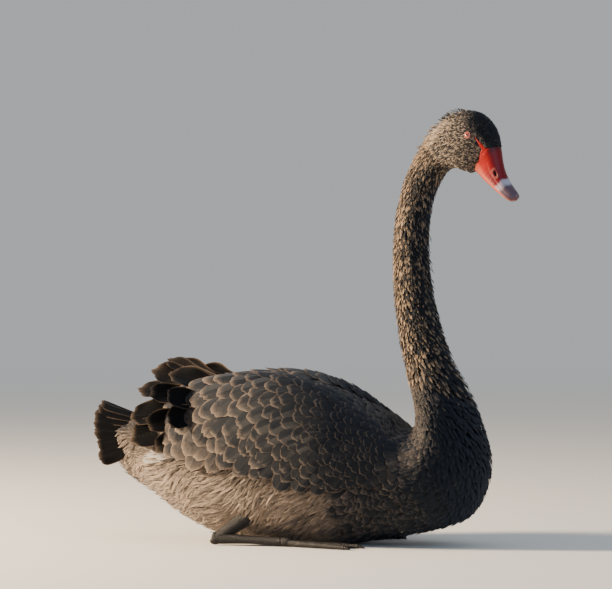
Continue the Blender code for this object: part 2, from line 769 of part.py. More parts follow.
def leg(name):
    shank = tube(
        name,
        [HEEL.lerp(SHANK_END, s) for s in (0.0, 0.12, 0.5, 0.88, 1.0)],
        (0.0084, 0.0072, TARSUS_RADIUS, TARSUS_RADIUS, TARSUS_RADIUS),
    )
    heel = ellipsoid("heel", settled(HEEL), (0.0094, 0.0088, 0.0094))
    thigh = tube("thigh", [THIGH_START, THIGH_START.lerp(HEEL, 0.5), HEEL], (0.0150, 0.0110, 0.0076))
    fused(shank, [heel, thigh])
    cut(shank, torso_solid("torso_room", GAP))
    keep_largest(shank)
    return shank


for make, base, material in ((leg, "leg", leg_skin), (foot, "foot", leg_skin)):
    right = make(base + "_right")
    finished(right, material)
    finished(mirrored(right, base + "_left"), material)
for toe in TOES:
    right = claw(f"claw_{toe}_right", toe)
    finished(right, claw_horn)
    finished(mirrored(right, f"claw_{toe}_left"), claw_horn)
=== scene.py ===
import math

import bpy
import numpy as np
from mathutils import Matrix, Vector


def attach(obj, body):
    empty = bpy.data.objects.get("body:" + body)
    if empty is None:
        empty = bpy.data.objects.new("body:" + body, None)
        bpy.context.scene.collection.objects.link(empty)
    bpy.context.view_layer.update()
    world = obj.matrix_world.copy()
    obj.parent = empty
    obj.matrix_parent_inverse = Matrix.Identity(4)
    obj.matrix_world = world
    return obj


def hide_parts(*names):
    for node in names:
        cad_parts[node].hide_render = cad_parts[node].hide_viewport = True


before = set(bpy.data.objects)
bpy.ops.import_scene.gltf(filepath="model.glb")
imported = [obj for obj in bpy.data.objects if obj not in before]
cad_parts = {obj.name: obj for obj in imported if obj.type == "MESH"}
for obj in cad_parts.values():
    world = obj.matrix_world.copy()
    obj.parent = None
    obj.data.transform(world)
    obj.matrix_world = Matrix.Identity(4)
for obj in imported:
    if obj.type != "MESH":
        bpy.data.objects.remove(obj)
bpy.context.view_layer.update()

for ready in list(bpy.context.selected_objects):
    ready.select_set(False)


# The bird's skin is one closed hide from the rump over back, breast and neck to the forehead. Its sections
# are half ellipses above and below the widest level. It lies under the plumage's outer shape by the depth of
# the coat there, which the feathers below fill.
ORIGIN_X = 0.028
TURN_X, HEAD_TURN = 0.200, math.radians(-20)
TURN_FROM, TURN_TO = 20.0, 24.0
# Distance forward, height, slope of the spine in degrees, depth above, depth below, half width
BODY_STATIONS = (
    (-0.264, 0.146, 0, 0.009, 0.020, 0.014),
    (-0.240, 0.138, 0, 0.022, 0.044, 0.032),
    (-0.205, 0.131, 0, 0.042, 0.062, 0.050),
    (-0.165, 0.118, 0, 0.074, 0.074, 0.071),
    (-0.115, 0.106, 0, 0.102, 0.090, 0.092),
    (-0.055, 0.102, 0, 0.116, 0.099, 0.106),
    (0.005, 0.102, 0, 0.119, 0.104, 0.112),
    (0.060, 0.100, 0, 0.111, 0.102, 0.110),
    (0.102, 0.098, 0, 0.096, 0.096, 0.104),
    (0.140, 0.098, 0, 0.079, 0.089, 0.097),
    (0.179, 0.095, 15, 0.066, 0.079, 0.090),
    (0.215, 0.110, 30, 0.066, 0.079, 0.083),
    (0.2265, 0.1535, 45, 0.070, 0.076, 0.069),
    (0.217, 0.1955, 60, 0.057, 0.059, 0.053),
    (0.2046, 0.2263, 78, 0.042, 0.043, 0.041),
    (0.1955, 0.2449, 94, 0.035, 0.035, 0.035),
    (0.1890, 0.2610, 108, 0.0325, 0.0325, 0.0320),
    (0.1820, 0.2890, 104, 0.0305, 0.0305, 0.0300),
    (0.1740, 0.3285, 98, 0.0280, 0.0280, 0.0275),
    (0.1700, 0.3700, 92, 0.0263, 0.0263, 0.0260),
    (0.1695, 0.4110, 88, 0.0250, 0.0250, 0.0247),
    (0.1730, 0.4487, 80, 0.0243, 0.0243, 0.0240),
    (0.1795, 0.4775, 71, 0.0240, 0.0240, 0.0236),
    (0.1910, 0.5025, 58, 0.0246, 0.0246, 0.0236),
    (0.2070, 0.5230, 43, 0.0270, 0.0275, 0.0245),
    (0.2280, 0.5370, 24, 0.0330, 0.0330, 0.0265),
    (0.2500, 0.5440, 4, 0.0390, 0.0410, 0.0278),
    (0.2710, 0.5440, -14, 0.0380, 0.0430, 0.0268),
    (0.2870, 0.5358, -30, 0.0312, 0.0412, 0.0228),
    (0.2980, 0.5250, -43, 0.0205, 0.0285, 0.0165),
)
LAST_STATION = len(BODY_STATIONS) - 1
NECK_ROOT, NECK_TOP = 13.6, 24.6
DOME = 0.0065
EYE = Vector((0.2780, 0.0216, 0.5505))      # on the left, in the head's own heading
EYE_RADIUS, EYE_OPENING, LID_RISE = 0.0058, 0.0043, 0.0036
EYE_BOWL, EYE_BOWL_REACH = 0.0028, (0.0058, 0.0076)
# Height and distance forward of the edge between feathers and bill
BILL_BORDER = ((0.4950, 0.2872), (0.5060, 0.2893), (0.5182, 0.2913), (0.5286, 0.2953), (0.5331, 0.2984))
BILL_SINK = 0.0060
# Station, and how deep the coat is there
COAT_DEPTHS = (
    (0, 0.005), (3, 0.007), (12, 0.007), (15, 0.0045), (23, 0.0035), (25.5, 0.0024), (29, 0.0016),
)
FLOOR_GAP = 0.0004
PLAIN_TONE = 0.30      # the tone at which a feather's web has its dark colour


def smoothed(values, position):
    """The values at fractional stations, on one smooth curve through the stations."""
    values = np.asarray(values, float)
    last = len(values) - 1
    i = np.clip(np.floor(position).astype(int), 0, last - 1)
    t = position - i
    start, end = values[i], values[i + 1]
    slope_in = (end - values[np.maximum(i - 1, 0)]) / 2
    slope_out = (values[np.minimum(i + 2, last)] - start) / 2
    return (
        (2 * t**3 - 3 * t**2 + 1) * start + (t**3 - 2 * t**2 + t) * slope_in
        + (3 * t**2 - 2 * t**3) * end + (t**3 - t**2) * slope_out
    )


def eased(value, low, high):
    """0 below low, 1 above high, and a smooth step between them."""
    t = np.clip((value - low) / (high - low), 0.0, 1.0)
    return t * t * (3 - 2 * t)


def graded(table, position):
    """A value read off a table of (station, value) rows."""
    return np.interp(position, [row[0] for row in table], [row[1] for row in table])


def head_turned(points, share):
    """The points turned about the head's upright axis by a share of the head's turn."""
    angle = HEAD_TURN * share
    x, y = points[..., 0] - TURN_X, points[..., 1]
    turned = points.copy()
    turned[..., 0] = TURN_X + x * np.cos(angle) - y * np.sin(angle)
    turned[..., 1] = x * np.sin(angle) + y * np.cos(angle)
    return turned


def bare_body(station, around):
    """The plumage's outer shape. It tapers on behind the first station and closes in a dome past the last."""
    past = np.clip(station - LAST_STATION, 0.0, 1.0) * math.pi / 2
    behind = np.clip(station, -1.8, 0.0)
    station = np.clip(station, 0.0, LAST_STATION)
    x, z, slope, above, below, half = (
        smoothed(column, station) + behind * (column[1] - column[0]) / 2 for column in zip(*BODY_STATIONS)
    )
    slope = np.radians(slope)
    above, below, half = (np.maximum(part, 0.0015) for part in (above, below, half))
    lift = np.cos(around)
    shrink = np.cos(past * 0.96)
    depth = np.where(lift > 0, above, below) * lift * shrink
    ahead = DOME * np.sin(past)
    points = np.stack([
        x + np.cos(slope) * ahead - np.sin(slope) * depth,
        -half * shrink * np.sin(around),
        z + np.sin(slope) * ahead + np.cos(slope) * depth,
    ], -1)
    points = head_turned(points, eased(station, TURN_FROM, TURN_TO))
    points[..., 0] -= ORIGIN_X
    return points


def body_normal(station, around):
    """The way out of the plumage's outer shape."""
    step = 0.01
    along = bare_body(station + step, around) - bare_body(station - step, around)
    across = bare_body(station, around + step) - bare_body(station, around - step)
    normal = np.cross(across, along)
    return normal / np.linalg.norm(normal, axis=-1, keepdims=True)


def body_surface(station, around, height):
    """Points that far outside the plumage's outer shape, above the floor.

    around is 0 on the back and grows over the right side to the belly.
    """
    station, around, height = np.broadcast_arrays(np.asarray(station, float), around, height)
    points = bare_body(station, around) + body_normal(station, around) * height[..., None]
    points[..., 2] = np.maximum(points[..., 2], FLOOR_GAP)
    return points


def from_back(around):
    """How far round the body a place lies from the middle of the back, on either side."""
    return np.abs(np.mod(around + np.pi, math.tau) - np.pi)


def body_tone(station, around):
    """How light the plumage is, 0 to 1: paler on flanks and belly, lighter on the nape and darkest on breast
    and crown. The nape's lightness is painted light, and the extra darkness of breast and crown painted
    shade.
    """
    down = from_back(around) / np.pi
    flank = eased(down, 0.38, 0.60) * (1 - eased(station, 5.5, 9.0)) * (1 - 0.40 * eased(station, 3.5, 6.5))
    flank = flank * (0.55 + 0.45 * eased(station, 0.5, 3.0))
    # Painted light: the nape is lighter on the back of the neck and head.
    nape = 0.12 + 0.20 * eased(station, 16.0, 20.0) + 0.40 * eased(station, 23.0, 25.0)
    nape = nape * eased(station, 12.0, 14.8) * (1 - eased(station, 25.2, 26.6))
    nape = nape * (1 - eased(down, 0.30, 0.62))
    cheek = eased(station, 26.0, 26.8) * eased(down, 0.26, 0.40) * (1 - eased(down, 0.66, 0.82))
    # Painted shade: crown and breast are darker.
    crown = crown_share(station, down * np.pi)
    breast = eased(station, 7.5, 10.5) * (1 - eased(station, 22.0, 24.0)) * eased(down, 0.35, 0.60)
    lighter = 0.42 * flank + 0.42 * nape + 0.02 * cheek
    return np.clip(PLAIN_TONE + lighter - 0.28 * crown - 0.22 * breast, 0, 1)


def crown_share(station, down):
    """1 on the forehead and crown, painted smooth and dark there as shade."""
    return eased(station, 26.5, 27.3) * (1 - eased(down, 0.85, 1.25))


def from_head(points):
    """Points given in the head's own heading, in the frame of the solids."""
    points = head_turned(points, 1.0)
    points[..., 0] -= ORIGIN_X
    return points


def in_head(points):
    """Points of the frame of the solids, in the head's own heading."""
    x, y = points[..., 0] + ORIGIN_X - TURN_X, points[..., 1]
    cosine, sine = math.cos(HEAD_TURN), math.sin(HEAD_TURN)
    return np.stack([TURN_X + x * cosine + y * sine, y * cosine - x * sine, points[..., 2]], -1)


def eye_frame(side):
    """The middle of an eyeball and the way it faces. side is -1 on the right and 1 on the left."""
    facing = head_turned(np.array([TURN_X + 0.16, side, 0.08]), 1.0) - np.array([TURN_X, 0, 0])
    return Vector(from_head(np.array([EYE.x, side * EYE.y, EYE.z]))), Vector(facing).normalized()


def past_border(points):
    """How far points lie on the bill's side of the feathers' edge. Negative among the feathers."""
    local = in_head(points)
    edge = np.interp(local[..., 2], [row[0] for row in BILL_BORDER], [row[1] for row in BILL_BORDER])
    return np.minimum(local[..., 0] - edge, BILL_BORDER[-1][0] - local[..., 2])


def skin_height(station, around):
    """The skin's height over the plumage's outer shape: a bowl round each eye, and a sink under the bill."""
    height = -graded(COAT_DEPTHS, station)
    spots = bare_body(station, around)
    for side in (-1, 1):
        centre, _ = eye_frame(side)
        away = np.linalg.norm(spots - np.array(centre), axis=-1)
        height = height - EYE_BOWL * (1 - eased(away, *EYE_BOWL_REACH))
    return height - BILL_SINK * eased(past_border(spots), -0.0004, 0.0016)


def plain_mesh(name, points, faces, shade):
    """A smooth object of points and faces, with the plumage's tone at each point."""
    mesh = bpy.data.meshes.new(name)
    mesh.from_pydata(points, [], faces)
    obj = bpy.data.objects.new(name, mesh)
    bpy.context.scene.collection.objects.link(obj)
    mesh.shade_smooth()
    mesh.attributes.new("shade", "FLOAT", "POINT").data.foreach_set("value", shade)
    return obj


def hide(name, surface, stations, arounds, heights, tone):
    """A closed skin over a grid of stations and angles, capped at both ends, with its unwrap in OFBake."""
    s, a = np.meshgrid(stations, arounds, indexing="ij")
    points = surface(s, a, heights(s, a))
    rows, wide = s.shape
    ends = [points[0].mean(0), points[-1].mean(0)]
    flat = list(map(tuple, points.reshape(-1, 3))) + [tuple(p) for p in ends]
    faces = []
    for j in range(wide):
        k = (j + 1) % wide
        for i in range(rows - 1):
            faces.append((i * wide + j, i * wide + k, (i + 1) * wide + k, (i + 1) * wide + j))
        faces.append((k, j, rows * wide))
        faces.append(((rows - 1) * wide + j, (rows - 1) * wide + k, rows * wide + 1))
    shade = np.append(tone(s, a).ravel(), [PLAIN_TONE, PLAIN_TONE])
    obj = plain_mesh(name, flat, faces, shade)
    unwrap = obj.data.uv_layers.new(name="OFBake")
    u = np.append(np.mod(a.ravel(), math.tau) / math.tau, [0.5, 0.5])
    v = np.append(((s - s[0, 0]) / (s[-1, 0] - s[0, 0])).ravel(), [0.0, 1.0])
    for face in obj.data.polygons:
        corners = [obj.data.loops[loop].vertex_index for loop in face.loop_indices]
        wrap = max(u[c] for c in corners) - min(u[c] for c in corners) > 0.5
        for loop, c in zip(face.loop_indices, corners):
            turn = u[c] + (wrap and u[c] < 0.5)
            unwrap.data[loop].uv = (0.01 + 0.98 * 0.97 * turn, 0.01 + 0.98 * v[c])
    return obj


def finish(name, values):
    """A new material with values set on its shader, its node tree and that shader."""
    material = bpy.data.materials.new(name)
    material.use_nodes = True
    shader = material.node_tree.nodes["Principled BSDF"]
    for socket, value in values.items():
        shader.inputs[socket].default_value = value
    return material, material.node_tree, shader


def add_node(tree, kind, inputs, **settings):
    """A new shader node. Each input named gets a value, or the output of another node."""
    node = tree.nodes.new("ShaderNode" + kind)
    for setting, value in settings.items():
        setattr(node, setting, value)
    for socket, value in inputs.items():
        if isinstance(value, bpy.types.NodeSocket):
            tree.links.new(value, node.inputs[socket])
        else:
            node.inputs[socket].default_value = value
    return node


def fine_noise(tree, scale, detail):
    """Noise that stays where it is on the piece."""
    place = add_node(tree, "TexCoord", {}).outputs["Object"]
    return add_node(tree, "TexNoise", {"Vector": place, "Scale": scale, "Detail": detail}).outputs["Fac"]


def colour_between(tree, shader, dark, pale, share):
    """The shader's colour runs from dark to pale with the share."""
    mix = add_node(tree, "Mix", {}, data_type="RGBA", clamp_factor=True)
    mix.inputs[6].default_value = (*dark, 1)
    mix.inputs[7].default_value = (*pale, 1)
    tree.links.new(share, mix.inputs[0])
    tree.links.new(mix.outputs[2], shader.inputs["Base Color"])


def raised(tree, shader, height, strength, depth):
    """Relief on the shader."""
    bump = add_node(tree, "Bump", {"Strength": strength, "Distance": depth, "Height": height})
    tree.links.new(bump.outputs[0], shader.inputs["Normal"])


def plumage(name, dark, pale, fringe=0.6, edge_power=5.0, tip_power=7.0, grain_share=0.5, barbs=26.0,
            comb=9.0, streaks=0.035, roughness=0.62, sheen=0.06, specular=0.18):
    """Feathers: dark web with a paler fringe, barbs in colour and relief, and each feather its own tone.

    barbs is how many ridges cross the feather along its length, and comb how many lie between its quill and
    its edge. The higher edge_power and tip_power are, the thinner is the fringe.
    """
    # The sheen's blue tint is painted reflection of sky on the shaded side.
    material, tree, shader = finish(name, {
        "Roughness": roughness, "Specular IOR Level": specular,
        "Sheen Weight": sheen, "Sheen Roughness": 0.45, "Sheen Tint": (0.40, 0.56, 0.82, 1),
    })

    def math_node(operation, *values):
        return add_node(tree, "Math", dict(enumerate(values)), operation=operation).outputs[0]

    vane = add_node(tree, "UVMap", {}, uv_map="vane")
    split = add_node(tree, "SeparateXYZ", {0: vane.outputs[0]})
    aside = math_node("ABSOLUTE", math_node("SUBTRACT", math_node("MULTIPLY", split.outputs[0], 2.0), 1.0))
    along = split.outputs[1]
    rim = math_node("MAXIMUM", math_node("POWER", aside, edge_power), math_node("POWER", along, tip_power))
    shade = add_node(tree, "Attribute", {}, attribute_name="shade")
    grain = math_node("SUBTRACT", fine_noise(tree, 260.0, 3.0), 0.5)
    slant = math_node("SUBTRACT", math_node("MULTIPLY", along, barbs), math_node("MULTIPLY", aside, comb))
    barb = math_node("SINE", math_node("MULTIPLY", slant, math.tau))
    light = math_node("MULTIPLY", rim, fringe)
    light = math_node("ADD", light, math_node("SUBTRACT", shade.outputs["Fac"], PLAIN_TONE))
    light = math_node("ADD", light, math_node("MULTIPLY", barb, streaks))
    light = math_node("ADD", light, math_node("MULTIPLY", grain, grain_share))
    colour_between(tree, shader, dark, pale, light)
    quill = math_node("MULTIPLY", math_node("POWER", math_node("SUBTRACT", 1.0, aside), 14.0), 2.5)
    raised(tree, shader, math_node("ADD", barb, quill), 0.5, 0.0006)
    return material


body_plumage = plumage(
    "sooty body feathers", (0.0078, 0.0076, 0.0086), (0.120, 0.092, 0.070), fringe=0.45, barbs=14.0, comb=5.0,
)
skin_stations = np.concatenate([
    np.linspace(0.0, NECK_ROOT, 90), np.linspace(NECK_ROOT, TURN_TO, 90)[1:],
    np.linspace(TURN_TO, LAST_STATION + 0.97, 130)[1:],
])
skin = hide("skin", body_surface, skin_stations, np.arange(128) * math.tau / 128, skin_height, body_tone)
skin.data.uv_layers.new(name="vane")
skin.data.materials.append(body_plumage)
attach(skin, "root")
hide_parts("torso", "neck_lower", "neck_upper", "head", "tail")


# The contour feathers grow in staggered rows and lie back along the body and down the neck, each row over the
# roots of the one behind it. Each is a thin closed vane with a frayed round tip: small on the face, long and
# soft on the flank.
dice = np.random.default_rng(20)
# Station, and how long the feathers are there
FEATHER_LENGTHS = (
    (0, 0.020), (2, 0.028), (4, 0.032), (7, 0.028), (9, 0.023), (11, 0.019), (13, 0.0150), (15, 0.0118),
    (18, 0.0100), (23, 0.0088), (24.6, 0.0070), (25.8, 0.0052), (27.5, 0.0042), (29, 0.0032),
)


def reach_of(surface, station, around):
    """How far one station, and one radian, carry over the surface there."""
    step = 0.01
    along = surface(station + step, around, 0.0) - surface(station - step, around, 0.0)
    across = surface(station, around + step, 0.0) - surface(station, around - step, 0.0)
    return np.linalg.norm(along, axis=-1) / (2 * step), np.linalg.norm(across, axis=-1) / (2 * step)


def sown(first, last, length_of, along_share, across_share):
    """Staggered, slightly uneven places for feathers all round the body between two stations."""
    stations, arounds = [], []
    station, row = last, 0
    while station > first:
        length = float(length_of(station))
        ring = np.linspace(0, math.tau, 17)[:-1]
        along, across = reach_of(body_surface, np.full(16, station), ring)
        count = max(8, int(across.mean() * math.tau / (length * across_share)))
        angle = (np.arange(count) + 0.5 * (row % 2)) * math.tau / count
        angle += dice.normal(0, 0.16, count) * math.tau / count
        stations.append(station + dice.normal(0, 0.22, count) * length * along_share / along.mean())
        arounds.append(np.mod(angle, math.tau))
        station -= length * along_share / along.mean()
        row += 1
    return np.concatenate(stations), np.concatenate(arounds)


def leaf(rows, columns, shoulder, base, blunt):
    """A vane's outline: how far along (0 to 1) and aside (-1 to 1) each place of a grid lies, and its (u, v).

    Past the shoulder a square is mapped to half a disc, so that the round tip has no corner. base is the
    width at the root as a share of the full width, and blunt below 1 draws the tip out to a point.
    """
    v = np.linspace(0, 1, rows)[:, None]
    u = np.linspace(-1, 1, columns)[None, :]
    q = np.clip((v - shoulder) / (1 - shoulder), 0, 1)
    along = np.where(v < shoulder, v, shoulder + (1 - shoulder) * q * np.sqrt(1 - u * u / 2))
    aside = u * (base + (1 - base) * eased(v, 0.0, shoulder)) * np.sqrt(1 - q * q * (1 - blunt / 2))
    return along, aside, np.stack(np.broadcast_arrays(u / 2 + 0.5, v), -1)


def lie(surface, station, around, length, half, slant, root, tip, outline, cupped=0.0, curl=0.0, twist=0.0,
        fray=0.06, thickness=0.0004):
    """Vanes that follow the surface back from their roots: points of their upper and under faces."""
    forth, aside, _ = outline
    rows, columns = forth.shape
    count = len(station)
    ragged = dice.normal(0, fray, (count, 1, columns)) * forth**3
    reach = length[:, None, None] * (forth + ragged)
    side = half[:, None, None] * aside
    along, across = reach_of(surface, station, around)
    cosine, sine = np.cos(slant)[:, None, None], np.sin(slant)[:, None, None]
    s = station[:, None, None] - (reach * cosine - side * sine) / along[:, None, None]
    a = around[:, None, None] + (reach * sine + side * cosine) / across[:, None, None]
    height = root[:, None, None] + (tip - root)[:, None, None] * forth**0.5
    height = height + half[:, None, None] * (cupped * aside * aside + twist * aside * forth)
    height = height + curl * forth**3 * length[:, None, None]
    return surface(s, a, height), surface(s, a, height - thickness)[:, 1:-1, 1:-1]


def vanes(name, top, under, places, roots, tone, mirrored=False):
    """One mesh of closed vanes from grids of points.

    places is the (u, v) on a vane, and roots is where each vane's patch lies on the unwrap of the skin.
    """
    count, rows, columns, _ = top.shape
    upper, inner = rows * columns, (rows - 2) * (columns - 2)
    points = np.concatenate([top.reshape(count, upper, 3), under.reshape(count, inner, 3)], 1)
    if mirrored:
        points = points * np.array([1, -1, 1])
    grid = np.arange(upper).reshape(rows, columns)
    below = grid.copy()
    below[1:-1, 1:-1] = upper + np.arange(inner).reshape(rows - 2, columns - 2)
    quads = [(grid[i, j], grid[i + 1, j], grid[i + 1, j + 1], grid[i, j + 1])
             for i in range(rows - 1) for j in range(columns - 1)]
    quads += [(below[i, j], below[i, j + 1], below[i + 1, j + 1], below[i + 1, j])
              for i in range(rows - 1) for j in range(columns - 1)]
    quads = np.array(quads)
    if mirrored:
        quads = quads[:, ::-1]
    each = upper + inner
    loops = (quads[None] + (np.arange(count) * each)[:, None, None]).reshape(-1)
    mesh = bpy.data.meshes.new(name)
    mesh.vertices.add(count * each)
    mesh.vertices.foreach_set("co", points.reshape(-1))
    mesh.loops.add(len(loops))
    mesh.loops.foreach_set("vertex_index", loops)
    mesh.polygons.add(len(loops) // 4)
    mesh.polygons.foreach_set("loop_start", np.arange(0, len(loops), 4))
    mesh.update(calc_edges=True)
    each_place = np.concatenate([places.reshape(upper, 2), places[1:-1, 1:-1].reshape(inner, 2)])
    per_point = np.tile(each_place, (count, 1))
    patch = np.repeat(0.01 + 0.975 * roots, each, 0) + 0.003 * (per_point - 0.5)
    for layer, values in (("OFBake", patch), ("vane", per_point)):
        mesh.uv_layers.new(name=layer).data.foreach_set("uv", values[loops].reshape(-1))
    mesh.attributes.new("shade", "FLOAT", "POINT").data.foreach_set("value", np.repeat(tone, each))
    mesh.shade_smooth()
    mesh.set_sharp_from_angle(angle=math.radians(60))
    mesh.validate()
    obj = bpy.data.objects.new(name, mesh)
    bpy.context.scene.collection.objects.link(obj)
    return obj


# Where the folded wing lies: station, edges round the body in degrees, and how far it swells off the body
WING_SPAN = (
    (3.0, 9, 74, 0.006),
    (3.5, 9, 74, 0.016),
    (4.0, 9, 74, 0.024),
    (5.0, 9, 76, 0.026),
    (6.0, 9, 84, 0.022),
    (7.0, 12, 90, 0.015),
    (8.0, 20, 92, 0.009),
    (9.0, 31, 92, 0.004),
    (10.0, 40, 90, 0.003),
    (10.7, 54, 80, 0.001),
)
WING_RIM = 0.004


def wing_at(station):
    """Upper edge, lower edge and swell of the folded wing."""
    place = np.interp(station, [row[0] for row in WING_SPAN], np.arange(len(WING_SPAN)))
    _, upper, lower, swell = (smoothed(column, place) for column in zip(*WING_SPAN))
    return np.radians(upper), np.radians(lower), swell


def coat(name, first, last, length_of, along_share, across_share, half_share, outline, material,
         keep_where=None, fray=0.06, wild=0.16, flecked=0.0, ruffled=1.0):
    """One piece of contour feathers between two stations.

    The shares are of a feather's length: between rows, between neighbours, and half a feather's width. wild
    is how unevenly they point, flecked how much paler a third of them is, and ruffled how far tips stand off.
    """
    station, around = sown(first, last, length_of, along_share, across_share)
    down = from_back(around)
    upper, lower, _ = wing_at(station)
    keep = ~((station > 3.6) & (station < 9.4) & (down > upper + 0.14) & (down < lower - 0.25))
    if keep_where is not None:
        keep &= keep_where(station, around)
    length = length_of(station) * dice.uniform(0.85, 1.15, len(station))
    soft = flank_share(station, down)
    side = np.where(around < np.pi, 1.0, -1.0)
    slant = side * (0.10 + 0.60 * soft) * eased(down, 0.1, 0.6)
    slant = slant + dice.normal(0, wild, len(station)) * (1 + soft)
    slant = slant + 0.30 * soft * np.sin(3.3 * station + 4.0 * down + np.sin(5.1 * down))
    if last > NECK_TOP:
        room = clear_share(station, around, length, slant)
        keep &= room > 0.45
        length = length * room
    laid = (station, around, down, length, soft, slant)
    station, around, down, length, soft, slant = (part[keep] for part in laid)
    count = len(station)
    half = length * half_share * dice.uniform(0.85, 1.15, count)
    depth = graded(COAT_DEPTHS, station)
    _, lower, _ = wing_at(station)
    over_wing = soft * (1 - eased(down - lower, -0.15, 0.35)) * eased(station, 3.0, 3.8)
    tip = 0.0065 * over_wing + dice.uniform(-0.30, 0.08, count) * ruffled * depth
    tip = tip + soft * dice.uniform(0.0, 1.0, count) ** 3 * 0.0048
    tip = tip + tuft_share(station, down) * (dice.random(count) < 0.18) * dice.uniform(0.003, 0.0065, count)
    top, under = lie(
        body_surface, station, around, length, half, slant, -depth - 0.0006, tip, outline,
        cupped=-0.18, twist=dice.normal(0, 0.10 * ruffled, count)[:, None, None], fray=fray,
    )
    tone = body_tone(station, around) + dice.normal(0, 1, count) * (0.05 + 0.08 * soft)
    # No pale flecks on forehead and crown, which are painted plain and dark as shade.
    tone += flecked * ((dice.random(count) < 0.35) - 0.25) * (1 - 0.9 * crown_share(station, down))
    roots = np.stack([around / math.tau, (station - first) / (last - first)], -1).clip(0, 1)
    feathers = vanes(name, top, under, outline[2], roots, tone)
    feathers.data.materials.append(material)
    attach(feathers, "root")


def flank_share(station, down):
    """1 on the soft flank, thigh and undertail, 0 elsewhere."""
    rear = 0.2 + 0.8 * eased(station, 0.2, 2.6)
    return eased(down, 1.15 * rear, 1.6 * rear) * (1 - eased(station, 6.5, 9.5))


def tuft_share(station, down):
    """1 where tufts stand up: on the nape below the head, and on the throat halfway up the neck."""
    nape = eased(station, 23.2, 24.2) * (1 - eased(station, 26.0, 26.6)) * (1 - eased(down, 0.55, 0.95))
    throat = eased(station, 18.2, 18.8) * (1 - eased(station, 20.0, 20.6)) * eased(down, 2.6, 2.9)
    return nape + throat


# The bare stripe on the left, from its point by the eye to the bill, and half its width at either end
LORE = (Vector((0.2893, 0.0223, 0.5480)), Vector((0.3000, 0.0172, 0.5322)))
LORE_HALVES = (0.0005, 0.0030)


def lore_depth(spots):
    """How far inside the bare stripe a point lies, in metres, negative outside it."""
    inside = np.full(spots.shape[:-1], -1.0)
    for side in (-1, 1):
        start, end = (np.array(Vector(from_head(np.array([p.x, side * p.y, p.z])))) for p in LORE)
        t = np.clip(((spots - start) @ (end - start)) / ((end - start) @ (end - start)), 0, 1)
        away = np.linalg.norm(spots - (start + t[..., None] * (end - start)), axis=-1)
        inside = np.maximum(inside, LORE_HALVES[0] + (LORE_HALVES[1] - LORE_HALVES[0]) * t - away)
    return inside


def is_bare(station, around):
    """True on the eyelids, on the bare stripe from eye to bill, and past the border of the bill."""
    spots = body_surface(station, around, 0.0)
    bare = (past_border(spots) > -0.0002) | (lore_depth(spots) > 0)
    for side in (-1, 1):
        centre, facing = eye_frame(side)
        bare |= np.linalg.norm(spots - np.array(centre + facing * LID_RISE), axis=-1) < EYE_OPENING + 0.0011
    return bare


def clear_share(station, around, length, slant):
    """The share of each feather's length that lies clear of bare skin."""
    along, across = reach_of(body_surface, station, around)
    share = np.where(is_bare(station, around), 0.0, 1.0)
    for part in (1.0, 0.8, 0.6, 0.4, 0.2):
        reach = length * part
        spot = (station - reach * np.cos(slant) / along, around + reach * np.sin(slant) / across)
        share = np.where(is_bare(*spot), np.minimum(share, part - 0.2), share)
    return share


def feather_length(station):
    return graded(FEATHER_LENGTHS, station)


def flank_length(station):
    return 1.30 * graded(FEATHER_LENGTHS, station)


def on_flank(station, around):
    return flank_share(station, from_back(around)) > 0.45


def off_flank(station, around):
    return ~on_flank(station, around)


round_leaf = leaf(6, 5, 0.50, 0.35, 1.0)
wisp_leaf = leaf(5, 3, 0.35, 0.50, 0.35)
small_leaf = leaf(4, 3, 0.45, 0.45, 0.8)
coat("rear_feathers", 0.3, 7.0, feather_length, 0.34, 0.30, 0.30, round_leaf, body_plumage, off_flank)
flank_plumage = plumage(
    "soft flank feathers", (0.018, 0.0155, 0.0145), (0.43, 0.325, 0.240), fringe=0.40, tip_power=2.5,
    grain_share=0.55, barbs=1.5, comb=3.0, sheen=0.15,
)
for name, first, last in (("vent_wisps", 0.3, 4.2), ("flank_wisps", 4.2, 8.5)):
    coat(name, first, last, flank_length, 0.125, 0.085, 0.052, wisp_leaf, flank_plumage, on_flank,
         fray=0.10, wild=0.10, ruffled=0.55)
# Blue tint in the dark webs of mantle, breast, neck and head: painted reflection of sky in the shade.
mantle_plumage = plumage(
    "fringed mantle feathers", (0.0060, 0.0074, 0.0108), (0.18, 0.140, 0.112), fringe=0.50, edge_power=4.0,
    tip_power=5.0, grain_share=0.35, barbs=18.0, comb=7.0,
)
coat("mantle_feathers", 7.0, 10.6, feather_length, 0.36, 0.30, 0.30, round_leaf, mantle_plumage, off_flank,
     ruffled=0.6)
breast_plumage = plumage(
    "dark breast feathers", (0.0036, 0.0060, 0.0105), (0.36, 0.275, 0.205), fringe=0.24, tip_power=5.0,
    grain_share=0.30, barbs=12.0, comb=5.0,
)
coat("breast_feathers", 10.6, NECK_ROOT, feather_length, 0.38, 0.32, 0.28, round_leaf, breast_plumage,
     wild=0.10, ruffled=0.35)
neck_plumage = plumage(
    "speckled neck feathers", (0.0042, 0.0060, 0.0095), (0.54, 0.375, 0.230), fringe=0.30, edge_power=8.0,
    tip_power=3.0, grain_share=0.9, barbs=4.0, comb=2.0,
)
head_plumage = plumage(
    "speckled head feathers", (0.0080, 0.0094, 0.0132), (0.60, 0.455, 0.325), fringe=0.34, edge_power=8.0,
    tip_power=3.0, grain_share=0.9, barbs=4.0, comb=2.0,
)
coat("neck_feathers", NECK_ROOT, NECK_TOP, feather_length, 0.42, 0.27, 0.150, small_leaf, neck_plumage,
     wild=0.13, flecked=0.40, ruffled=1.5)
coat("head_feathers", NECK_TOP, LAST_STATION + 0.9, feather_length, 0.40, 0.32, 0.20, small_leaf,
     head_plumage, wild=0.22, flecked=0.40, ruffled=1.6)


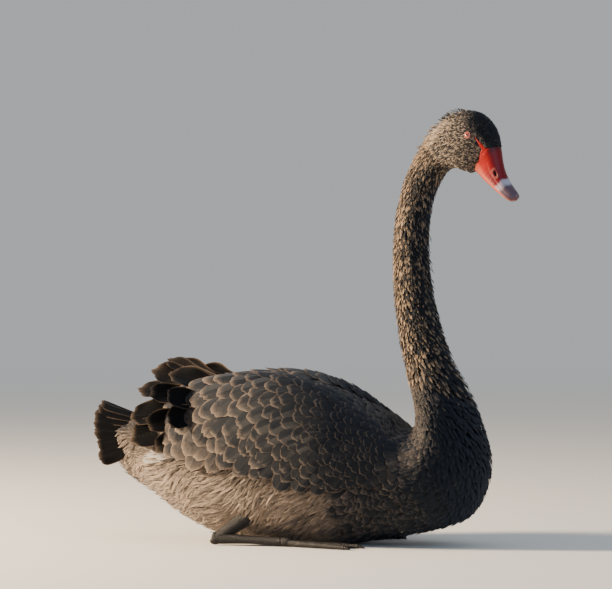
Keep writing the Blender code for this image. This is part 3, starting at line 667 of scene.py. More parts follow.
# The eyes are wet balls with an orange-red iris round a dark pupil, each in a pale, finely wrinkled ring of
# lid. A fleshy red stripe of bare skin runs from the front of each eye down to the corner of the bill.
def painted(name, roughness, coat_weight, grain_scale, grain_depth, variation, specular=0.5):
    """A finish whose colour is painted on the points, broken up by fine grain in colour and relief."""
    material, tree, shader = finish(name, {
        "Roughness": roughness, "Specular IOR Level": specular,
        "Coat Weight": coat_weight, "Coat Roughness": 0.08,
    })
    paint = add_node(tree, "Attribute", {}, attribute_name="paint").outputs["Color"]
    grain = fine_noise(tree, grain_scale, 4.0)
    spread = add_node(tree, "MapRange", {"Value": grain, "To Min": 1 - variation, "To Max": 1 + variation})
    tint = add_node(tree, "VectorMath", {0: paint, "Scale": spread.outputs[0]}, operation="SCALE")
    tree.links.new(tint.outputs[0], shader.inputs["Base Color"])
    raised(tree, shader, grain, 0.4, grain_depth)
    return material


def paint_points(obj, colours):
    """Give each point of a mesh its own colour."""
    flat = np.concatenate([colours, np.ones((len(colours), 1))], 1)
    obj.data.attributes.new("paint", "FLOAT_COLOR", "POINT").data.foreach_set("color", flat.reshape(-1))


def blended(first, second, share):
    """Colours between two colours, or two lists of them."""
    return np.asarray(first) * (1 - share[:, None]) + np.asarray(second) * share[:, None]


def points_of(obj):
    flat = np.empty(len(obj.data.vertices) * 3)
    obj.data.vertices.foreach_get("co", flat)
    return flat.reshape(-1, 3)


# Distance from the middle of the eye at which one colour has given way to the next
PUPIL, IRIS_RIM, EYE_RIM = 0.00170, 0.0039, 0.0042
LID_RADIUS, LID_WRINKLES = 0.00075, 26
eye_gloss = painted("wet eye", 0.12, 1.0, 900.0, 0.00005, 0.25)
lid_skin = painted("wrinkled lid skin", 0.50, 0.15, 1400.0, 0.0003, 0.20)
for side, label in ((-1, "right"), (1, "left")):
    centre, facing = eye_frame(side)
    stand = Matrix.Translation(centre) @ facing.to_track_quat("Z", "Y").to_matrix().to_4x4()
    bpy.ops.mesh.primitive_uv_sphere_add(segments=48, ring_count=48, radius=EYE_RADIUS)
    ball = bpy.context.object
    ball.name = "eyeball_" + label
    spots = points_of(ball)
    out = np.linalg.norm(spots[:, :2], axis=1)
    swell = 1 + 0.035 * np.where(spots[:, 2] > 0, 1 - eased(out, 0.0012, 0.0036), 0)
    ball.data.vertices.foreach_set("co", (spots * swell[:, None]).reshape(-1))
    turn = np.arctan2(spots[:, 1], spots[:, 0])
    streaks = 0.5 + 0.5 * np.sin(turn * 17 + 2 * np.sin(turn * 5))
    colour = blended((0.36, 0.024, 0.008), (0.50, 0.070, 0.028), streaks * eased(out, 0.0016, 0.0028))
    colour = blended(colour, (0.16, 0.012, 0.008), eased(out, IRIS_RIM - 0.0005, IRIS_RIM))
    colour = blended(colour, (0.26, 0.090, 0.070), eased(out, IRIS_RIM, EYE_RIM))
    colour = blended((0.004, 0.003, 0.003), colour, eased(out, PUPIL - 0.00025, PUPIL))
    colour[spots[:, 2] < 0] = (0.30, 0.16, 0.13)
    paint_points(ball, colour)
    ball.data.transform(stand)
    ball.data.shade_smooth()
    ball.data.materials.append(eye_gloss)
    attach(ball, "root")
    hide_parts("eye_" + label)

    bpy.ops.mesh.primitive_torus_add(
        major_radius=EYE_OPENING + 0.0002, minor_radius=LID_RADIUS, major_segments=64, minor_segments=16,
    )
    ring = bpy.context.object
    ring.name = "eyelids_" + label
    spots = points_of(ring)
    turn = np.arctan2(spots[:, 1], spots[:, 0])
    out = np.linalg.norm(spots[:, :2], axis=1) - EYE_OPENING
    spots[:, 2] += LID_RISE + 0.0001 - 0.25 * np.maximum(out, 0) + 0.00007 * np.sin(turn * LID_WRINKLES)
    spots[:, :2] *= (1 + 0.012 * np.sin(turn * LID_WRINKLES + 1))[:, None]
    ring.data.vertices.foreach_set("co", spots.reshape(-1))
    paint_points(ring, blended((0.24, 0.060, 0.042), (0.020, 0.012, 0.011), eased(out, -0.0002, 0.0004)))
    ring.data.transform(stand)
    ring.data.shade_smooth()
    ring.data.materials.append(lid_skin)
    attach(ring, "root")


def bare_height(station, around):
    """The bare skin shows at the stripes and past the feathers' border, and dips under the bill's root."""
    spots = body_surface(station, around, 0.0)
    shown = np.maximum(eased(lore_depth(spots), -0.0006, 0.0002), eased(past_border(spots), -0.0010, 0.0002))
    pimples = 0.00008 * np.sin(300 * station) * np.sin(95 * around)
    pimples = pimples + 0.00010 * np.sin(41 * station + 23 * around)
    local = in_head(spots)
    gape_x, gape_z = BILL[0][1]
    past_rear = BILL_FACING[0] * (local[..., 0] - gape_x) + BILL_FACING[1] * (local[..., 2] - gape_z)
    return -0.0050 + shown * (0.0044 + pimples) - BILL_SINK * eased(past_rear, 0.0004, 0.0045)


bill_skin = painted("waxy bill skin", 0.42, 0.0, 900.0, 0.00025, 0.18, specular=0.25)
# The darker crimson on top is painted shade, and the brighter orange-red on the side painted light.
BILL_SHADED_TOP_RED, BILL_LIT_SIDE_RED = (0.130, 0.0008, 0.0044), (0.300, 0.0040, 0.0010)
BILL_FACING = (0.771, -0.636)      # the way its rear section faces, forward and up
# The bill's sections from gape to tip: ridge (forward, height), cutting edge (the same) and half width
BILL = (
    ((0.3105, 0.5385), (0.2860, 0.5088), 0.0178),
    ((0.3134, 0.5292), (0.2902, 0.5040), 0.0157),
    ((0.3162, 0.5166), (0.2975, 0.4960), 0.0142),
    ((0.3200, 0.5035), (0.3073, 0.4878), 0.0135),
    ((0.3262, 0.4920), (0.3165, 0.4802), 0.0131),
    ((0.3335, 0.4825), (0.3255, 0.4730), 0.0126),
    ((0.3400, 0.4762), (0.3325, 0.4680), 0.0108),
    ((0.3438, 0.4722), (0.3375, 0.4655), 0.0070),
    ((0.3452, 0.4700), (0.3412, 0.4662), 0.0036),
)


def even_tone(station, around):
    """The same tone all over."""
    return np.full(np.broadcast(station, around).shape, 0.5)


face_stations = np.linspace(27.5, LAST_STATION + 0.97, 110)
face_turns = np.arange(240) * math.tau / 240
bare_face = hide("bare_face_skin", body_surface, face_stations, face_turns, bare_height, even_tone)
bare_spots = in_head(points_of(bare_face))
# Painted light and shade: the darker top red in the middle above the bill, the brighter side red elsewhere.
shaded_top_share = eased(bare_spots[..., 0], 0.300, 0.307) * (1 - eased(np.abs(bare_spots[..., 1]), 0.009, 0.014))
paint_points(bare_face, blended(BILL_LIT_SIDE_RED, BILL_SHADED_TOP_RED, shaded_top_share))
bare_face.data.materials.append(bill_skin)
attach(bare_face, "root")


# The bill is horn under waxy red skin, with a pale bluish band and a grey-mauve end with its nail.
# Painted light and shade lie on the red: darker crimson on top, a painted shadow under the feathers' edge,
# brighter orange-red on the side by the gape and orange along the cutting edges. The slots of the nostrils
# are open pits with raised rims, painted near black inside as shade, with a painted highlight at the rear
# end and a pale rim at the front end. The lower half closes against it.
BILL_COLUMNS = list(zip(*((*top, *low, half) for top, low, half in BILL)))
BILL_PITCH = math.radians(52)
LOWER_DEPTHS = (0.0085, 0.0080, 0.0070, 0.0060, 0.0050, 0.0040, 0.0033, 0.0027, 0.0020)
VAULT = 1.62 * math.pi      # how much of a ring's turn is the vault; the rest is the flat underside
NOSTRIL_STATION, NOSTRIL_ANGLES = 2.82, (36, 144)
BAND_START, BAND_END, NAIL_START = 3.72, 4.40, 6.6


def bill_ring(t, a, depth_of, width, lift):
    """Points of a half of the bill: a vault, or a trough with its depths, a flat face and a rounded tip."""
    t, a = np.broadcast_arrays(np.asarray(t, float), a)
    past = np.clip(t - 8, 0, 1) * math.pi / 2
    top_x, top_z, low_x, low_z, half = (smoothed(column, np.clip(t, 0, 8)) for column in BILL_COLUMNS)
    up_x, up_z = top_x - low_x, top_z - low_z
    size = np.sqrt(up_x**2 + up_z**2)
    up_x, up_z = up_x / size, up_z / size
    reach = size if depth_of is None else -graded(tuple(enumerate(depth_of)), np.clip(t, 0, 8))
    angle = np.clip(a / VAULT, 0, 1) * math.pi
    flat = np.clip((a - VAULT) / (math.tau - VAULT), 0, 1)
    power = 0.56 + 0.19 * eased(t, 0.4, 2.4) if depth_of is None else 0.8
    rise = np.where(a <= VAULT, np.abs(np.sin(angle)) ** power, 0.0)
    aside = np.where(a <= VAULT, np.cos(angle), 2 * flat - 1)
    shrink = np.cos(past * 0.95)
    middle = 0.4 * reach
    height = lift + middle + (rise * reach - middle) * shrink
    ahead = 0.0012 * np.sin(past)
    return from_head(np.stack([
        low_x + up_x * height + math.cos(BILL_PITCH) * ahead, half * width * aside * shrink,
        low_z + up_z * height - math.sin(BILL_PITCH) * ahead,
    ], -1))


def grown(ring):
    """A surface function from a ring function, which moves points out along their normals."""
    def surface(t, a, height):
        step = 0.02
        along = ring(t + step, a) - ring(t - step, a)
        across = ring(t, np.minimum(a + step, math.tau)) - ring(t, np.maximum(a - step, 0))
        normal = np.cross(across, along)
        normal /= np.maximum(np.linalg.norm(normal, axis=-1, keepdims=True), 1e-12)
        return ring(t, a) + normal * height[..., None]
    return surface


def nostril_place(t, a):
    """Distance from a nostril's middle in units of its slot: below 1 in the slot."""
    degrees = 180 * a / VAULT
    side = np.radians(np.minimum(*(np.abs(degrees - angle) for angle in NOSTRIL_ANGLES)))
    return np.sqrt(((t - NOSTRIL_STATION) * 0.0125 / 0.0050) ** 2 + (side * 0.0135 / 0.0019) ** 2)


def upper_relief(t, a):
    """Height of the bill's skin: nostril pits and rims, nail, wrinkles, a groove over the cutting edge."""
    degrees = 180 * a / VAULT
    slot = nostril_place(t, a)
    edge = np.abs(degrees - 90)
    height = -0.0022 * (1 - eased(slot, 0.45, 0.95)) + 0.00030 * np.exp(-((slot - 1.30) / 0.35) ** 2)
    height = height + 0.0004 * eased(t, NAIL_START, NAIL_START + 0.4) * (1 - eased(edge, 30, 44))
    groove = np.exp(-((edge - 74) / 5) ** 2) * eased(t, 0.8, 2.0) * (1 - eased(t, 5.8, 7.0))
    ripple = np.sin(7 * t + 0.05 * degrees) * np.sin(0.11 * degrees + 2 * t) + np.sin(13 * t - 0.07 * degrees)
    height = height - 0.0004 * groove + 0.00003 * ripple * (1 - eased(t, 4.0, 5.0))
    return height * (degrees <= 180)


def upper_colours(t, a):
    """The colour of the upper bill's skin, with light and shade painted on it."""
    degrees = 180 * a / VAULT
    edge = np.clip(np.abs(degrees - 90) / 90, 0, 1)
    uneven = t + 0.06 * np.sin(degrees * 0.11) + 0.03 * np.sin(degrees * 0.37)
    # Painted light and shade: brighter orange-red on the side by the gape, darker crimson on top.
    colour = blended(BILL_SHADED_TOP_RED, BILL_LIT_SIDE_RED, eased(edge, 0.52, 0.80) * (1 - eased(t, 1.1, 3.2)))
    # Painted shadow of the feathers' edge on the top of the bill near its root.
    shadow = (1 - eased(t + 0.12 * np.sin(degrees * 0.9), 0.1, 1.2)) * (1 - eased(edge, 0.45, 0.65))
    colour = blended(colour, (0.012, 0.003, 0.005), 0.75 * shadow)
    slot = nostril_place(t, a)
    # A pale rim at the front end of each nostril, and a pale spot at its rear end as a painted highlight.
    front = eased(t - NOSTRIL_STATION, 0.10, 0.40) + 0.8 * eased(NOSTRIL_STATION - t, 0.26, 0.42)
    colour = blended(colour, (0.42, 0.17, 0.11), 0.7 * front * np.exp(-((slot - 1.20) / 0.20) ** 2))
    # Painted shade: the pit inside each nostril is near black.
    colour = blended(colour, (0.010, 0.002, 0.003), 1 - eased(slot, 0.55, 0.95))
    band = eased(uneven, BAND_START, BAND_START + 0.30) * (1 - 0.35 * eased(edge, 0.2, 0.7))
    colour = blended(colour, (0.33, 0.32, 0.39), band)
    colour = blended(colour, (0.080, 0.050, 0.070), eased(uneven, BAND_END, BAND_END + 0.50))
    nail = eased(t, NAIL_START + 0.3, NAIL_START + 0.5) * (1 - eased(np.abs(degrees - 90), 30, 44))
    colour = blended(colour, (0.14, 0.090, 0.100), nail)
    # Painted light: orange along the cutting edge.
    rim = eased(edge, 0.955, 0.99) * (1 - 0.6 * eased(t, BAND_END, BAND_END + 0.8))
    return blended(colour, (0.46, 0.070, 0.034), rim)


def lower_relief(t, a):
    """Shallow wrinkles along the middle of the lower bill."""
    return -0.00012 * (1 + np.sin(26 * t)) * np.exp(-((180 * a / VAULT - 90) / 30) ** 2)


def lower_colours(t, a):
    """The colour of the lower bill's skin, with painted light along its edges."""
    colour = blended((0.28, 0.012, 0.004), (0.20, 0.10, 0.09), eased(t, BAND_END, BAND_END + 0.8))
    # Painted light: paler orange towards the edges.
    return blended(colour, (0.45, 0.13, 0.07), eased(np.abs(180 * a / VAULT - 90), 60, 85) * 0.6)


def upper_ring(t, a):
    return bill_ring(t, a, None, 1.0, 0.0)


def lower_ring(t, a):
    return bill_ring(t, a, LOWER_DEPTHS, 0.88, -0.0005)


def bill_half(name, ring, relief, colours, fine):
    """One half of the bill. fine is how many rings its length and tip, and its vault and flat face, have."""
    stations = np.concatenate([np.linspace(0, 8, fine[0]), np.linspace(8, 8.96, fine[1])[1:]])
    turns = np.concatenate([np.linspace(0, VAULT, fine[2]), np.linspace(VAULT, math.tau, fine[3])[1:-1]])
    half = hide(name, grown(ring), stations, turns, relief, even_tone)
    shades = colours(*(part.ravel() for part in np.meshgrid(stations, turns, indexing="ij")))
    paint_points(half, np.concatenate([shades, shades[:1], shades[-1:]]))
    return half


bill_upper = bill_half("bill_upper_skin", upper_ring, upper_relief, upper_colours, (121, 7, 97, 12))
bill_lower = bill_half("bill_lower_skin", lower_ring, lower_relief, lower_colours, (61, 5, 41, 9))
bill_lower.data.flip_normals()
for piece, node in ((bill_upper, "bill_upper"), (bill_lower, "bill_lower")):
    piece.data.set_sharp_from_angle(angle=math.radians(55))
    piece.data.materials.append(bill_skin)
    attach(piece, "root")
    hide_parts(node)


# Each folded wing is a soft bed on the body, tiled by fringed coverts that turn from straight back at the top
# to slanting down at the lower edge, from broad ones at the rear to small ones at the shoulder.
# Station, and how wide the coverts are there
COVERT_WIDTHS = (
    (3.4, 0.031), (4.6, 0.030), (5.6, 0.026), (6.6, 0.021), (7.6, 0.0165), (8.8, 0.0130), (10.7, 0.0115),
)
COVERTS_FROM, COVERTS_TO = 10.2, 3.35
BED_FROM, BED_TO = 3.05, 10.6
BED_SINK, BED_UNDERSIDE = 0.0035, 0.0065


def wing_surface(station, around, height):
    """Points that far outside the folded right wing."""
    station, around, height = np.broadcast_arrays(np.asarray(station, float), around, height)
    upper, lower, swell = wing_at(station)
    t = (around - upper) / (lower - upper)
    crown = eased(t, -0.06, 0.34) * (1 - 0.5 * eased(t, 0.35, 1.0)) * (1 - 0.6 * eased(t, 0.85, 1.0))
    rim = WING_RIM * (1 - 0.9 * eased(station, 7.5, 9.9)) * (0.35 + 0.65 * eased(t, -0.05, 0.12))
    off = rim + swell * crown + height
    return bare_body(station, around) + body_normal(station, around) * off[..., None]


def wing_bed(name, mirrored):
    """The wing's own closed bed under its coverts."""
    stations, shares = np.linspace(BED_FROM, BED_TO, 90), np.linspace(0.0, 1.0, 40)
    s, t = np.meshgrid(stations, shares, indexing="ij")
    upper, lower, _ = wing_at(s)
    a = upper + (lower - upper) * t
    outer = wing_surface(s, a, -BED_SINK)
    inner = body_surface(s, a, -BED_UNDERSIDE)
    rows, wide = s.shape
    points = np.concatenate([outer.reshape(-1, 3), inner.reshape(-1, 3)])
    if mirrored:
        points = points * np.array([1, -1, 1])
    half = rows * wide
    faces = []
    for i in range(rows - 1):
        for j in range(wide - 1):
            p, q = i * wide + j, (i + 1) * wide + j
            faces.append((p, p + 1, q + 1, q))
            faces.append((half + p, half + q, half + q + 1, half + p + 1))
    rim = [i * wide for i in range(rows - 1)] + [(rows - 1) * wide + j for j in range(wide - 1)]
    rim += [i * wide + wide - 1 for i in range(rows - 1, 0, -1)] + list(range(wide - 1, 0, -1))
    faces += [(p, q, half + q, half + p) for p, q in zip(rim, rim[1:] + rim[:1])]
    if mirrored:
        faces = [face[::-1] for face in faces]
    bed = plain_mesh(name, list(map(tuple, points)), faces, np.full(len(points), 0.25))
    bed.data.set_sharp_from_angle(angle=math.radians(50))
    unwrap = bed.data.uv_layers.new(name="OFBake")
    flat = np.stack([s.ravel() / 11, t.ravel()], -1) * [1, 0.48]
    flat = 0.01 + 0.98 * np.concatenate([flat, flat + [0, 0.5]])
    for loop in bed.data.loops:
        unwrap.data[loop.index].uv = flat[loop.vertex_index]
    bed.data.uv_layers.new(name="vane")
    return bed


def covert_places():
    """Staggered roots over the wing, in tiers from the shoulder back."""
    stations, arounds = [], []
    station, row = COVERTS_FROM, 0
    while station > COVERTS_TO:
        width = float(graded(COVERT_WIDTHS, station))
        upper, lower, _ = (float(v) for v in wing_at(np.array(station)))
        ring = wing_surface(np.full(9, station), np.linspace(upper, lower, 9), 0.0)
        breadth = np.linalg.norm(np.diff(ring, axis=0), axis=-1).sum()
        count = max(2, int(round(breadth / (0.80 * width))))
        share = (np.arange(count) + 0.25 + 0.5 * (row % 2)) / count + dice.normal(0, 0.07, count) / count
        along, _ = reach_of(wing_surface, np.full(5, station), np.linspace(upper, lower, 5))
        stations.append(station + dice.normal(0, 0.10, count) * width / along.mean())
        arounds.append(upper + (lower - upper) * share)
        station -= 0.66 * width / along.mean()
        row += 1
    return np.concatenate(stations), np.concatenate(arounds)


covert_leaf = leaf(9, 9, 0.42, 0.40, 1.0)
# Blue tint in the coverts' dark web: painted reflection of sky in the shade.
covert_plumage = plumage(
    "fringed wing coverts", (0.0062, 0.0076, 0.0108), (0.260, 0.190, 0.137), fringe=0.72, edge_power=7.0,
    tip_power=9.0, grain_share=0.34, barbs=22.0,
)


def covert_tiers(name, mirrored):
    """The coverts of one wing."""
    station, around = covert_places()
    count = len(station)
    upper, lower, _ = wing_at(station)
    t = (around - upper) / (lower - upper)
    width = graded(COVERT_WIDTHS, station) * dice.uniform(0.92, 1.12, count)
    slant = 0.12 + 0.90 * t ** 1.1 * (1 - 0.35 * eased(station, 7.0, 9.5)) + dice.normal(0, 0.06, count)
    slant += 0.10 * np.sin(2.1 * station + 5.0 * t)
    root = np.full(count, -0.0040)
    tip = (0.0026 + dice.uniform(-0.0008, 0.0006, count)) * (1 - 0.7 * eased(station, 7.5, 9.8))
    top, under = lie(
        wing_surface, station, around, 1.70 * width, 0.62 * width, slant, root, tip, covert_leaf,
        cupped=-0.14, twist=dice.normal(-0.06, 0.05, count)[:, None, None], fray=0.030, thickness=0.0005,
        curl=dice.uniform(-0.02, 0.03, count)[:, None, None],
    )
    tone = 0.255 + 0.11 * (1 - eased(station, 4.2, 6.5)) * t + dice.normal(0, 0.07, count)
    # Painted light: lighter along the wing's upper edge.
    tone += 0.12 * (1 - eased(t, 0.05, 0.30)) * (1 - eased(station, 6.5, 8.5))
    # Painted shade: darker towards the shoulder.
    tone -= 0.30 * eased(station, 4.4, 8.0)
    roots = np.stack([(station - 3.0) / 8.0, t], -1).clip(0, 1)
    return vanes(name, top, under, covert_leaf[2], roots, tone, mirrored)


for side, mirrored in (("right", False), ("left", True)):
    bed = wing_bed("wing_bed_" + side, mirrored)
    bed.data.materials.append(body_plumage)
    coverts = covert_tiers("wing_coverts_" + side, mirrored)
    coverts.data.materials.append(covert_plumage)
    for piece in (bed, coverts):
        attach(piece, "root")
    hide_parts("wing_" + side)


# The ruffled plumes are broad tertials that leave the wing's rear and curl, dark with a thin pale rim, over
# the tips of three white primaries. Each is a closed vane on a bent quill, cupped across, with waves that
# grow towards its edges.
# Root (forward, side, height); heading out, rise, bend up and roll in degrees; length, half width and cup
TERTIALS = (
    ((-0.098, 0.034, 0.213), 2, 9, 6, 42, 0.093, 0.020, 0.22),
    ((-0.076, 0.050, 0.212), 6, 8, 8, 42, 0.082, 0.019, 0.26),
    ((-0.108, 0.040, 0.203), 3, -4, 14, 38, 0.098, 0.021, 0.22),
    ((-0.114, 0.054, 0.187), 6, -15, 14, 54, 0.098, 0.021, 0.24),
    ((-0.116, 0.064, 0.168), 4, -20, 12, 68, 0.096, 0.021, 0.22),
    ((-0.092, 0.068, 0.196), 18, -10, 50, 62, 0.066, 0.017, 0.34),
    ((-0.092, 0.076, 0.180), 20, -16, 44, 76, 0.064, 0.017, 0.34),
    ((-0.090, 0.026, 0.214), -4, 13, 16, 20, 0.090, 0.018, 0.30),
    ((-0.100, 0.046, 0.198), 12, -2, 22, 60, 0.086, 0.016, 0.30),
    ((-0.110, 0.060, 0.178), 9, -18, 26, 74, 0.078, 0.016, 0.30),
    ((-0.086, 0.072, 0.190), 12, -30, 34, 84, 0.070, 0.012, 0.45),
    ((-0.104, 0.070, 0.160), 8, -28, 10, 80, 0.074, 0.014, 0.30),
)
PLUME_STEPS, PLUME_THICKNESS = 60, 0.0007
plume_leaf = leaf(30, 17, 0.70, 0.55, 1.0)
plume_plumage = plumage(
    "ruffled plumes", (0.0026, 0.0025, 0.0030), (0.150, 0.106, 0.072), fringe=0.95, edge_power=16.0,
    tip_power=22.0, grain_share=0.16, barbs=16.0, streaks=0.05, sheen=0.02, specular=0.06,
)


def plume(root, heading, rise, bend, roll, length, half, cup):
    """The grid of one curling vane and its under face."""
    forth, aside, _ = plume_leaf
    heading = math.radians(heading)
    tangent = Vector((-math.cos(heading), -math.sin(heading), math.tan(math.radians(rise)))).normalized()
    side = tangent.cross(Vector((0, 0, 1))).normalized()
    normal = Matrix.Rotation(math.radians(-roll), 3, tangent) @ side.cross(tangent)
    spot = Vector((root[0] - ORIGIN_X, -root[1], root[2]))
    spots, tangents, normals = [spot], [tangent], [normal]
    for _ in range(PLUME_STEPS):
        turn = Matrix.Rotation(math.radians(bend) / PLUME_STEPS, 3, tangent.cross(normal))
        tangent, normal = turn @ tangent, turn @ normal
        spot = spot + tangent * (length / PLUME_STEPS)
        spots.append(spot)
        tangents.append(tangent)
        normals.append(normal)
    split = 0.05 * np.abs(np.sin(dice.uniform(0, math.tau) + dice.uniform(3, 6) * aside[:1]))
    ragged = (dice.normal(0, 0.010, (1, forth.shape[1])) - split) * forth**4
    place = np.clip(forth + ragged, 0, 1) * PLUME_STEPS
    centre, ahead, up = (
        np.stack([np.interp(place, np.arange(PLUME_STEPS + 1), axis) for axis in np.array(vectors).T], -1)
        for vectors in (spots, tangents, normals)
    )
    across = np.cross(ahead, up)
    phase, waves = dice.uniform(0, math.tau), dice.uniform(1.0, 1.8)
    wave = 0.14 * np.sin(phase + waves * math.tau * forth + 1.2 * aside) * np.abs(aside) ** 1.5
    top = centre + across * (aside * half)[..., None] + up * (half * (cup * aside**2 + wave))[..., None]
    return top, (top - up * PLUME_THICKNESS)[1:-1, 1:-1]


def plume_set(name, table, tone, mirrored, material):
    """One wing's plumes of a kind. The upper ones are paler, as painted light."""
    top, under = (np.stack(group) for group in zip(*(plume(*row) for row in table)))
    count = len(top)
    roots = np.stack([(np.arange(count) + 0.5) / count, np.full(count, 0.5)], -1)
    # Painted light: the upper plumes are paler.
    tone = tone + 0.14 * eased(top[:, 0, 0, 2], 0.195, 0.212) + dice.normal(0, 0.05, count)
    plumes = vanes(name, top[:, :, ::-1], under[:, :, ::-1], plume_leaf[2], roots, tone, mirrored)
    plumes.data.materials.append(material)
    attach(plumes, "root")


# In the same columns as the tertials
PRIMARIES = (
    ((-0.112, 0.0847, 0.140), -12, -17, -8, 86, 0.086, 0.0062, 0.10),
    ((-0.104, 0.0887, 0.131), -11, -13, -6, 88, 0.074, 0.0058, 0.10),
    ((-0.122, 0.0797, 0.124), -13, -11, -6, 84, 0.080, 0.0060, 0.12),
)
white_plumage = plumage(
    "white primaries", (0.27, 0.25, 0.225), (0.50, 0.47, 0.43), fringe=0.3, grain_share=0.6, barbs=20.0,
    comb=6.0,
)
for side, mirrored in (("right", False), ("left", True)):
    plume_set("tertials_" + side, TERTIALS, 0.20, mirrored, plume_plumage)
    plume_set("primaries_" + side, PRIMARIES, 0.40, mirrored, white_plumage)


# The tail is a tented fan of stiff black rectrices under the feathers of the rump, each a closed vane that
# lies under its inner neighbour.
TAIL_ORIGIN_X, TAIL_ORIGIN_Z = -0.175, 0.148
TAIL_SPREAD, TAIL_RISE, TAIL_DROOP = math.radians(38), math.radians(22), math.radians(36)
RECTRICES = 14
RECTRIX_START, RECTRIX_LENGTH, RECTRIX_HALF, RECTRIX_THICKNESS = 0.030, 0.109, 0.0135, 0.0006


def tail_point(spread, reach):
    """Points of the tented fan, at an angle from straight back and a distance from its origin."""
    spread, reach = np.broadcast_arrays(spread, reach)
    t = spread / TAIL_SPREAD
    rise = TAIL_RISE - TAIL_DROOP * t * t
    flat = reach * np.cos(rise)
    return np.stack([
        TAIL_ORIGIN_X - ORIGIN_X - flat * np.cos(spread),
        -0.008 * t - flat * np.sin(spread),
        TAIL_ORIGIN_Z - 0.012 * t * t + reach * np.sin(rise),
    ], -1)


rectrix_leaf = leaf(20, 11, 0.80, 0.60, 1.0)


def rectrices():
    """The whole fan of the tail."""
    forth, aside, places = rectrix_leaf
    tops, unders = [], []
    for k in range(RECTRICES):
        t = 2 * (k + 0.5) / RECTRICES - 1
        spread = TAIL_SPREAD * t
        length = RECTRIX_LENGTH * (1 - 0.14 * t * t) + dice.normal(0, 0.001)
        ragged = dice.normal(0, 0.0006, (1, forth.shape[1])) * forth**4
        reach = RECTRIX_START + (length - RECTRIX_START) * forth + ragged
        outward = 1 if t > 0 else -1
        across = tail_point(spread + 0.02, 0.08) - tail_point(spread - 0.02, 0.08)
        across /= np.linalg.norm(across)
        up = np.cross(tail_point(spread, 0.09) - tail_point(spread, 0.08), across)
        up *= np.sign(up[2]) / np.linalg.norm(up)
        drop = -0.0034 * RECTRICES / 2 * abs(t) * forth**0.7
        drop = drop - (0.16 * outward * aside + 0.34 * aside**2) * RECTRIX_HALF * (0.3 + 0.7 * forth)
        top = tail_point(spread, reach) + across * (aside * RECTRIX_HALF)[..., None] + up * drop[..., None]
        tops.append(top)
        unders.append((top - up * RECTRIX_THICKNESS)[1:-1, 1:-1])
    roots = np.stack([(np.arange(RECTRICES) + 0.5) / RECTRICES, np.full(RECTRICES, 0.5)], -1)
    tone = 0.21 + dice.normal(0, 0.04, RECTRICES)
    return vanes("tail_feathers", np.stack(tops), np.stack(unders), places, roots, tone)


tail = rectrices()
tail.data.materials.append(plume_plumage)
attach(tail, "root")


# Legs and feet are slate-black scaled skin with plates along the tops, jointed toes and thin wrinkled webs,
# and the claws are worn dark horn. Each limb is a closed tube along its bones, and a web is a closed sheet
# between two toes. The left side is a copy of the right.
def scaled(name, dark, pale, scale, depth, roughness):
    """Small polygonal scales with dark seams between them."""
    material, tree, shader = finish(name, {"Roughness": roughness, "Specular IOR Level": 0.25})
    place = add_node(tree, "TexCoord", {}).outputs["Object"]
    cells = add_node(tree, "TexVoronoi", {"Vector": place, "Scale": scale}, feature="DISTANCE_TO_EDGE")
    scales = add_node(tree, "MapRange", {"Value": cells.outputs["Distance"], "From Max": 0.22}).outputs[0]
    tones = fine_noise(tree, scale * 0.25, 5.0)
    share = add_node(tree, "Math", {0: scales, 1: tones}, operation="MULTIPLY").outputs[0]
    colour_between(tree, shader, dark, pale, share)
    raised(tree, shader, scales, 0.8, depth)
    return material


leg_scales = scaled("scaled leg skin", (0.0036, 0.0034, 0.0038), (0.026, 0.024, 0.025), 420.0, 0.0004, 0.55)
claw_horn = scaled("worn claw horn", (0.010, 0.008, 0.007), (0.060, 0.050, 0.042), 160.0, 0.0001, 0.38)
HEEL, SHANK_END = np.array([-0.075, -0.088, 0.0098]), np.array([0.016, -0.084, 0.0068])
THIGH_START = np.array([-0.018, -0.068, 0.052])
TARSUS_RADIUS, TOE_RADIUS = 0.0063, 0.0043
TOE_ROOT = 0.006      # how far past the shank's end the toes meet
# Heading in degrees, and length
TOES = {"inner": (-15, 0.082), "middle": (1, 0.104), "outer": (17, 0.098)}


def toe_line(toe, share):
    """Where a toe's middle line lies, forward and to the side."""
    heading, length = TOES[toe]
    reach, angle = length * share, math.radians(heading)
    return SHANK_END[0] + TOE_ROOT + reach * math.cos(angle), SHANK_END[1] - reach * math.sin(angle)


def toe_point(toe, share):
    """A point in the middle of a toe."""
    return np.array([*toe_line(toe, share), TOE_RADIUS * (1.25 - 0.45 * share)])


def limb(path, radii):
    """A surface function for a round-ended tube: t runs along its path, and a goes round it from the top."""
    path, radii = np.array(path), np.array(radii)
    reached = np.append(0, np.cumsum(np.linalg.norm(np.diff(path, axis=0), axis=1)))

    def surface(t, a, height):
        t, a, height = np.broadcast_arrays(t, a, height)
        gone = np.clip(t, 0, 1) * reached[-1]
        place = np.interp(gone, reached, np.arange(len(path)))
        centre = np.stack([smoothed(column, place) for column in path.T], -1)
        before = np.stack([smoothed(column, place - 0.02) for column in path.T], -1)
        ahead = np.stack([smoothed(column, place + 0.02) for column in path.T], -1) - before
        ahead /= np.linalg.norm(ahead, axis=-1, keepdims=True)
        side = np.cross(ahead, np.array([0.0, 0.0, 1.0]))
        side /= np.linalg.norm(side, axis=-1, keepdims=True)
        radius = smoothed(radii, place)
        closing = np.clip(np.minimum(gone, reached[-1] - gone) / radius, 0, 1)
        radius = (radius + height) * np.sqrt(np.clip(1 - (1 - closing) ** 2, 0.0004, 1))
        points = centre + radius[..., None] * (
            np.cos(a)[..., None] * np.cross(side, ahead) + np.sin(a)[..., None] * side
        )
        points[..., 0] -= ORIGIN_X
        points[..., 2] = np.maximum(points[..., 2], FLOOR_GAP)
        return points
    return surface


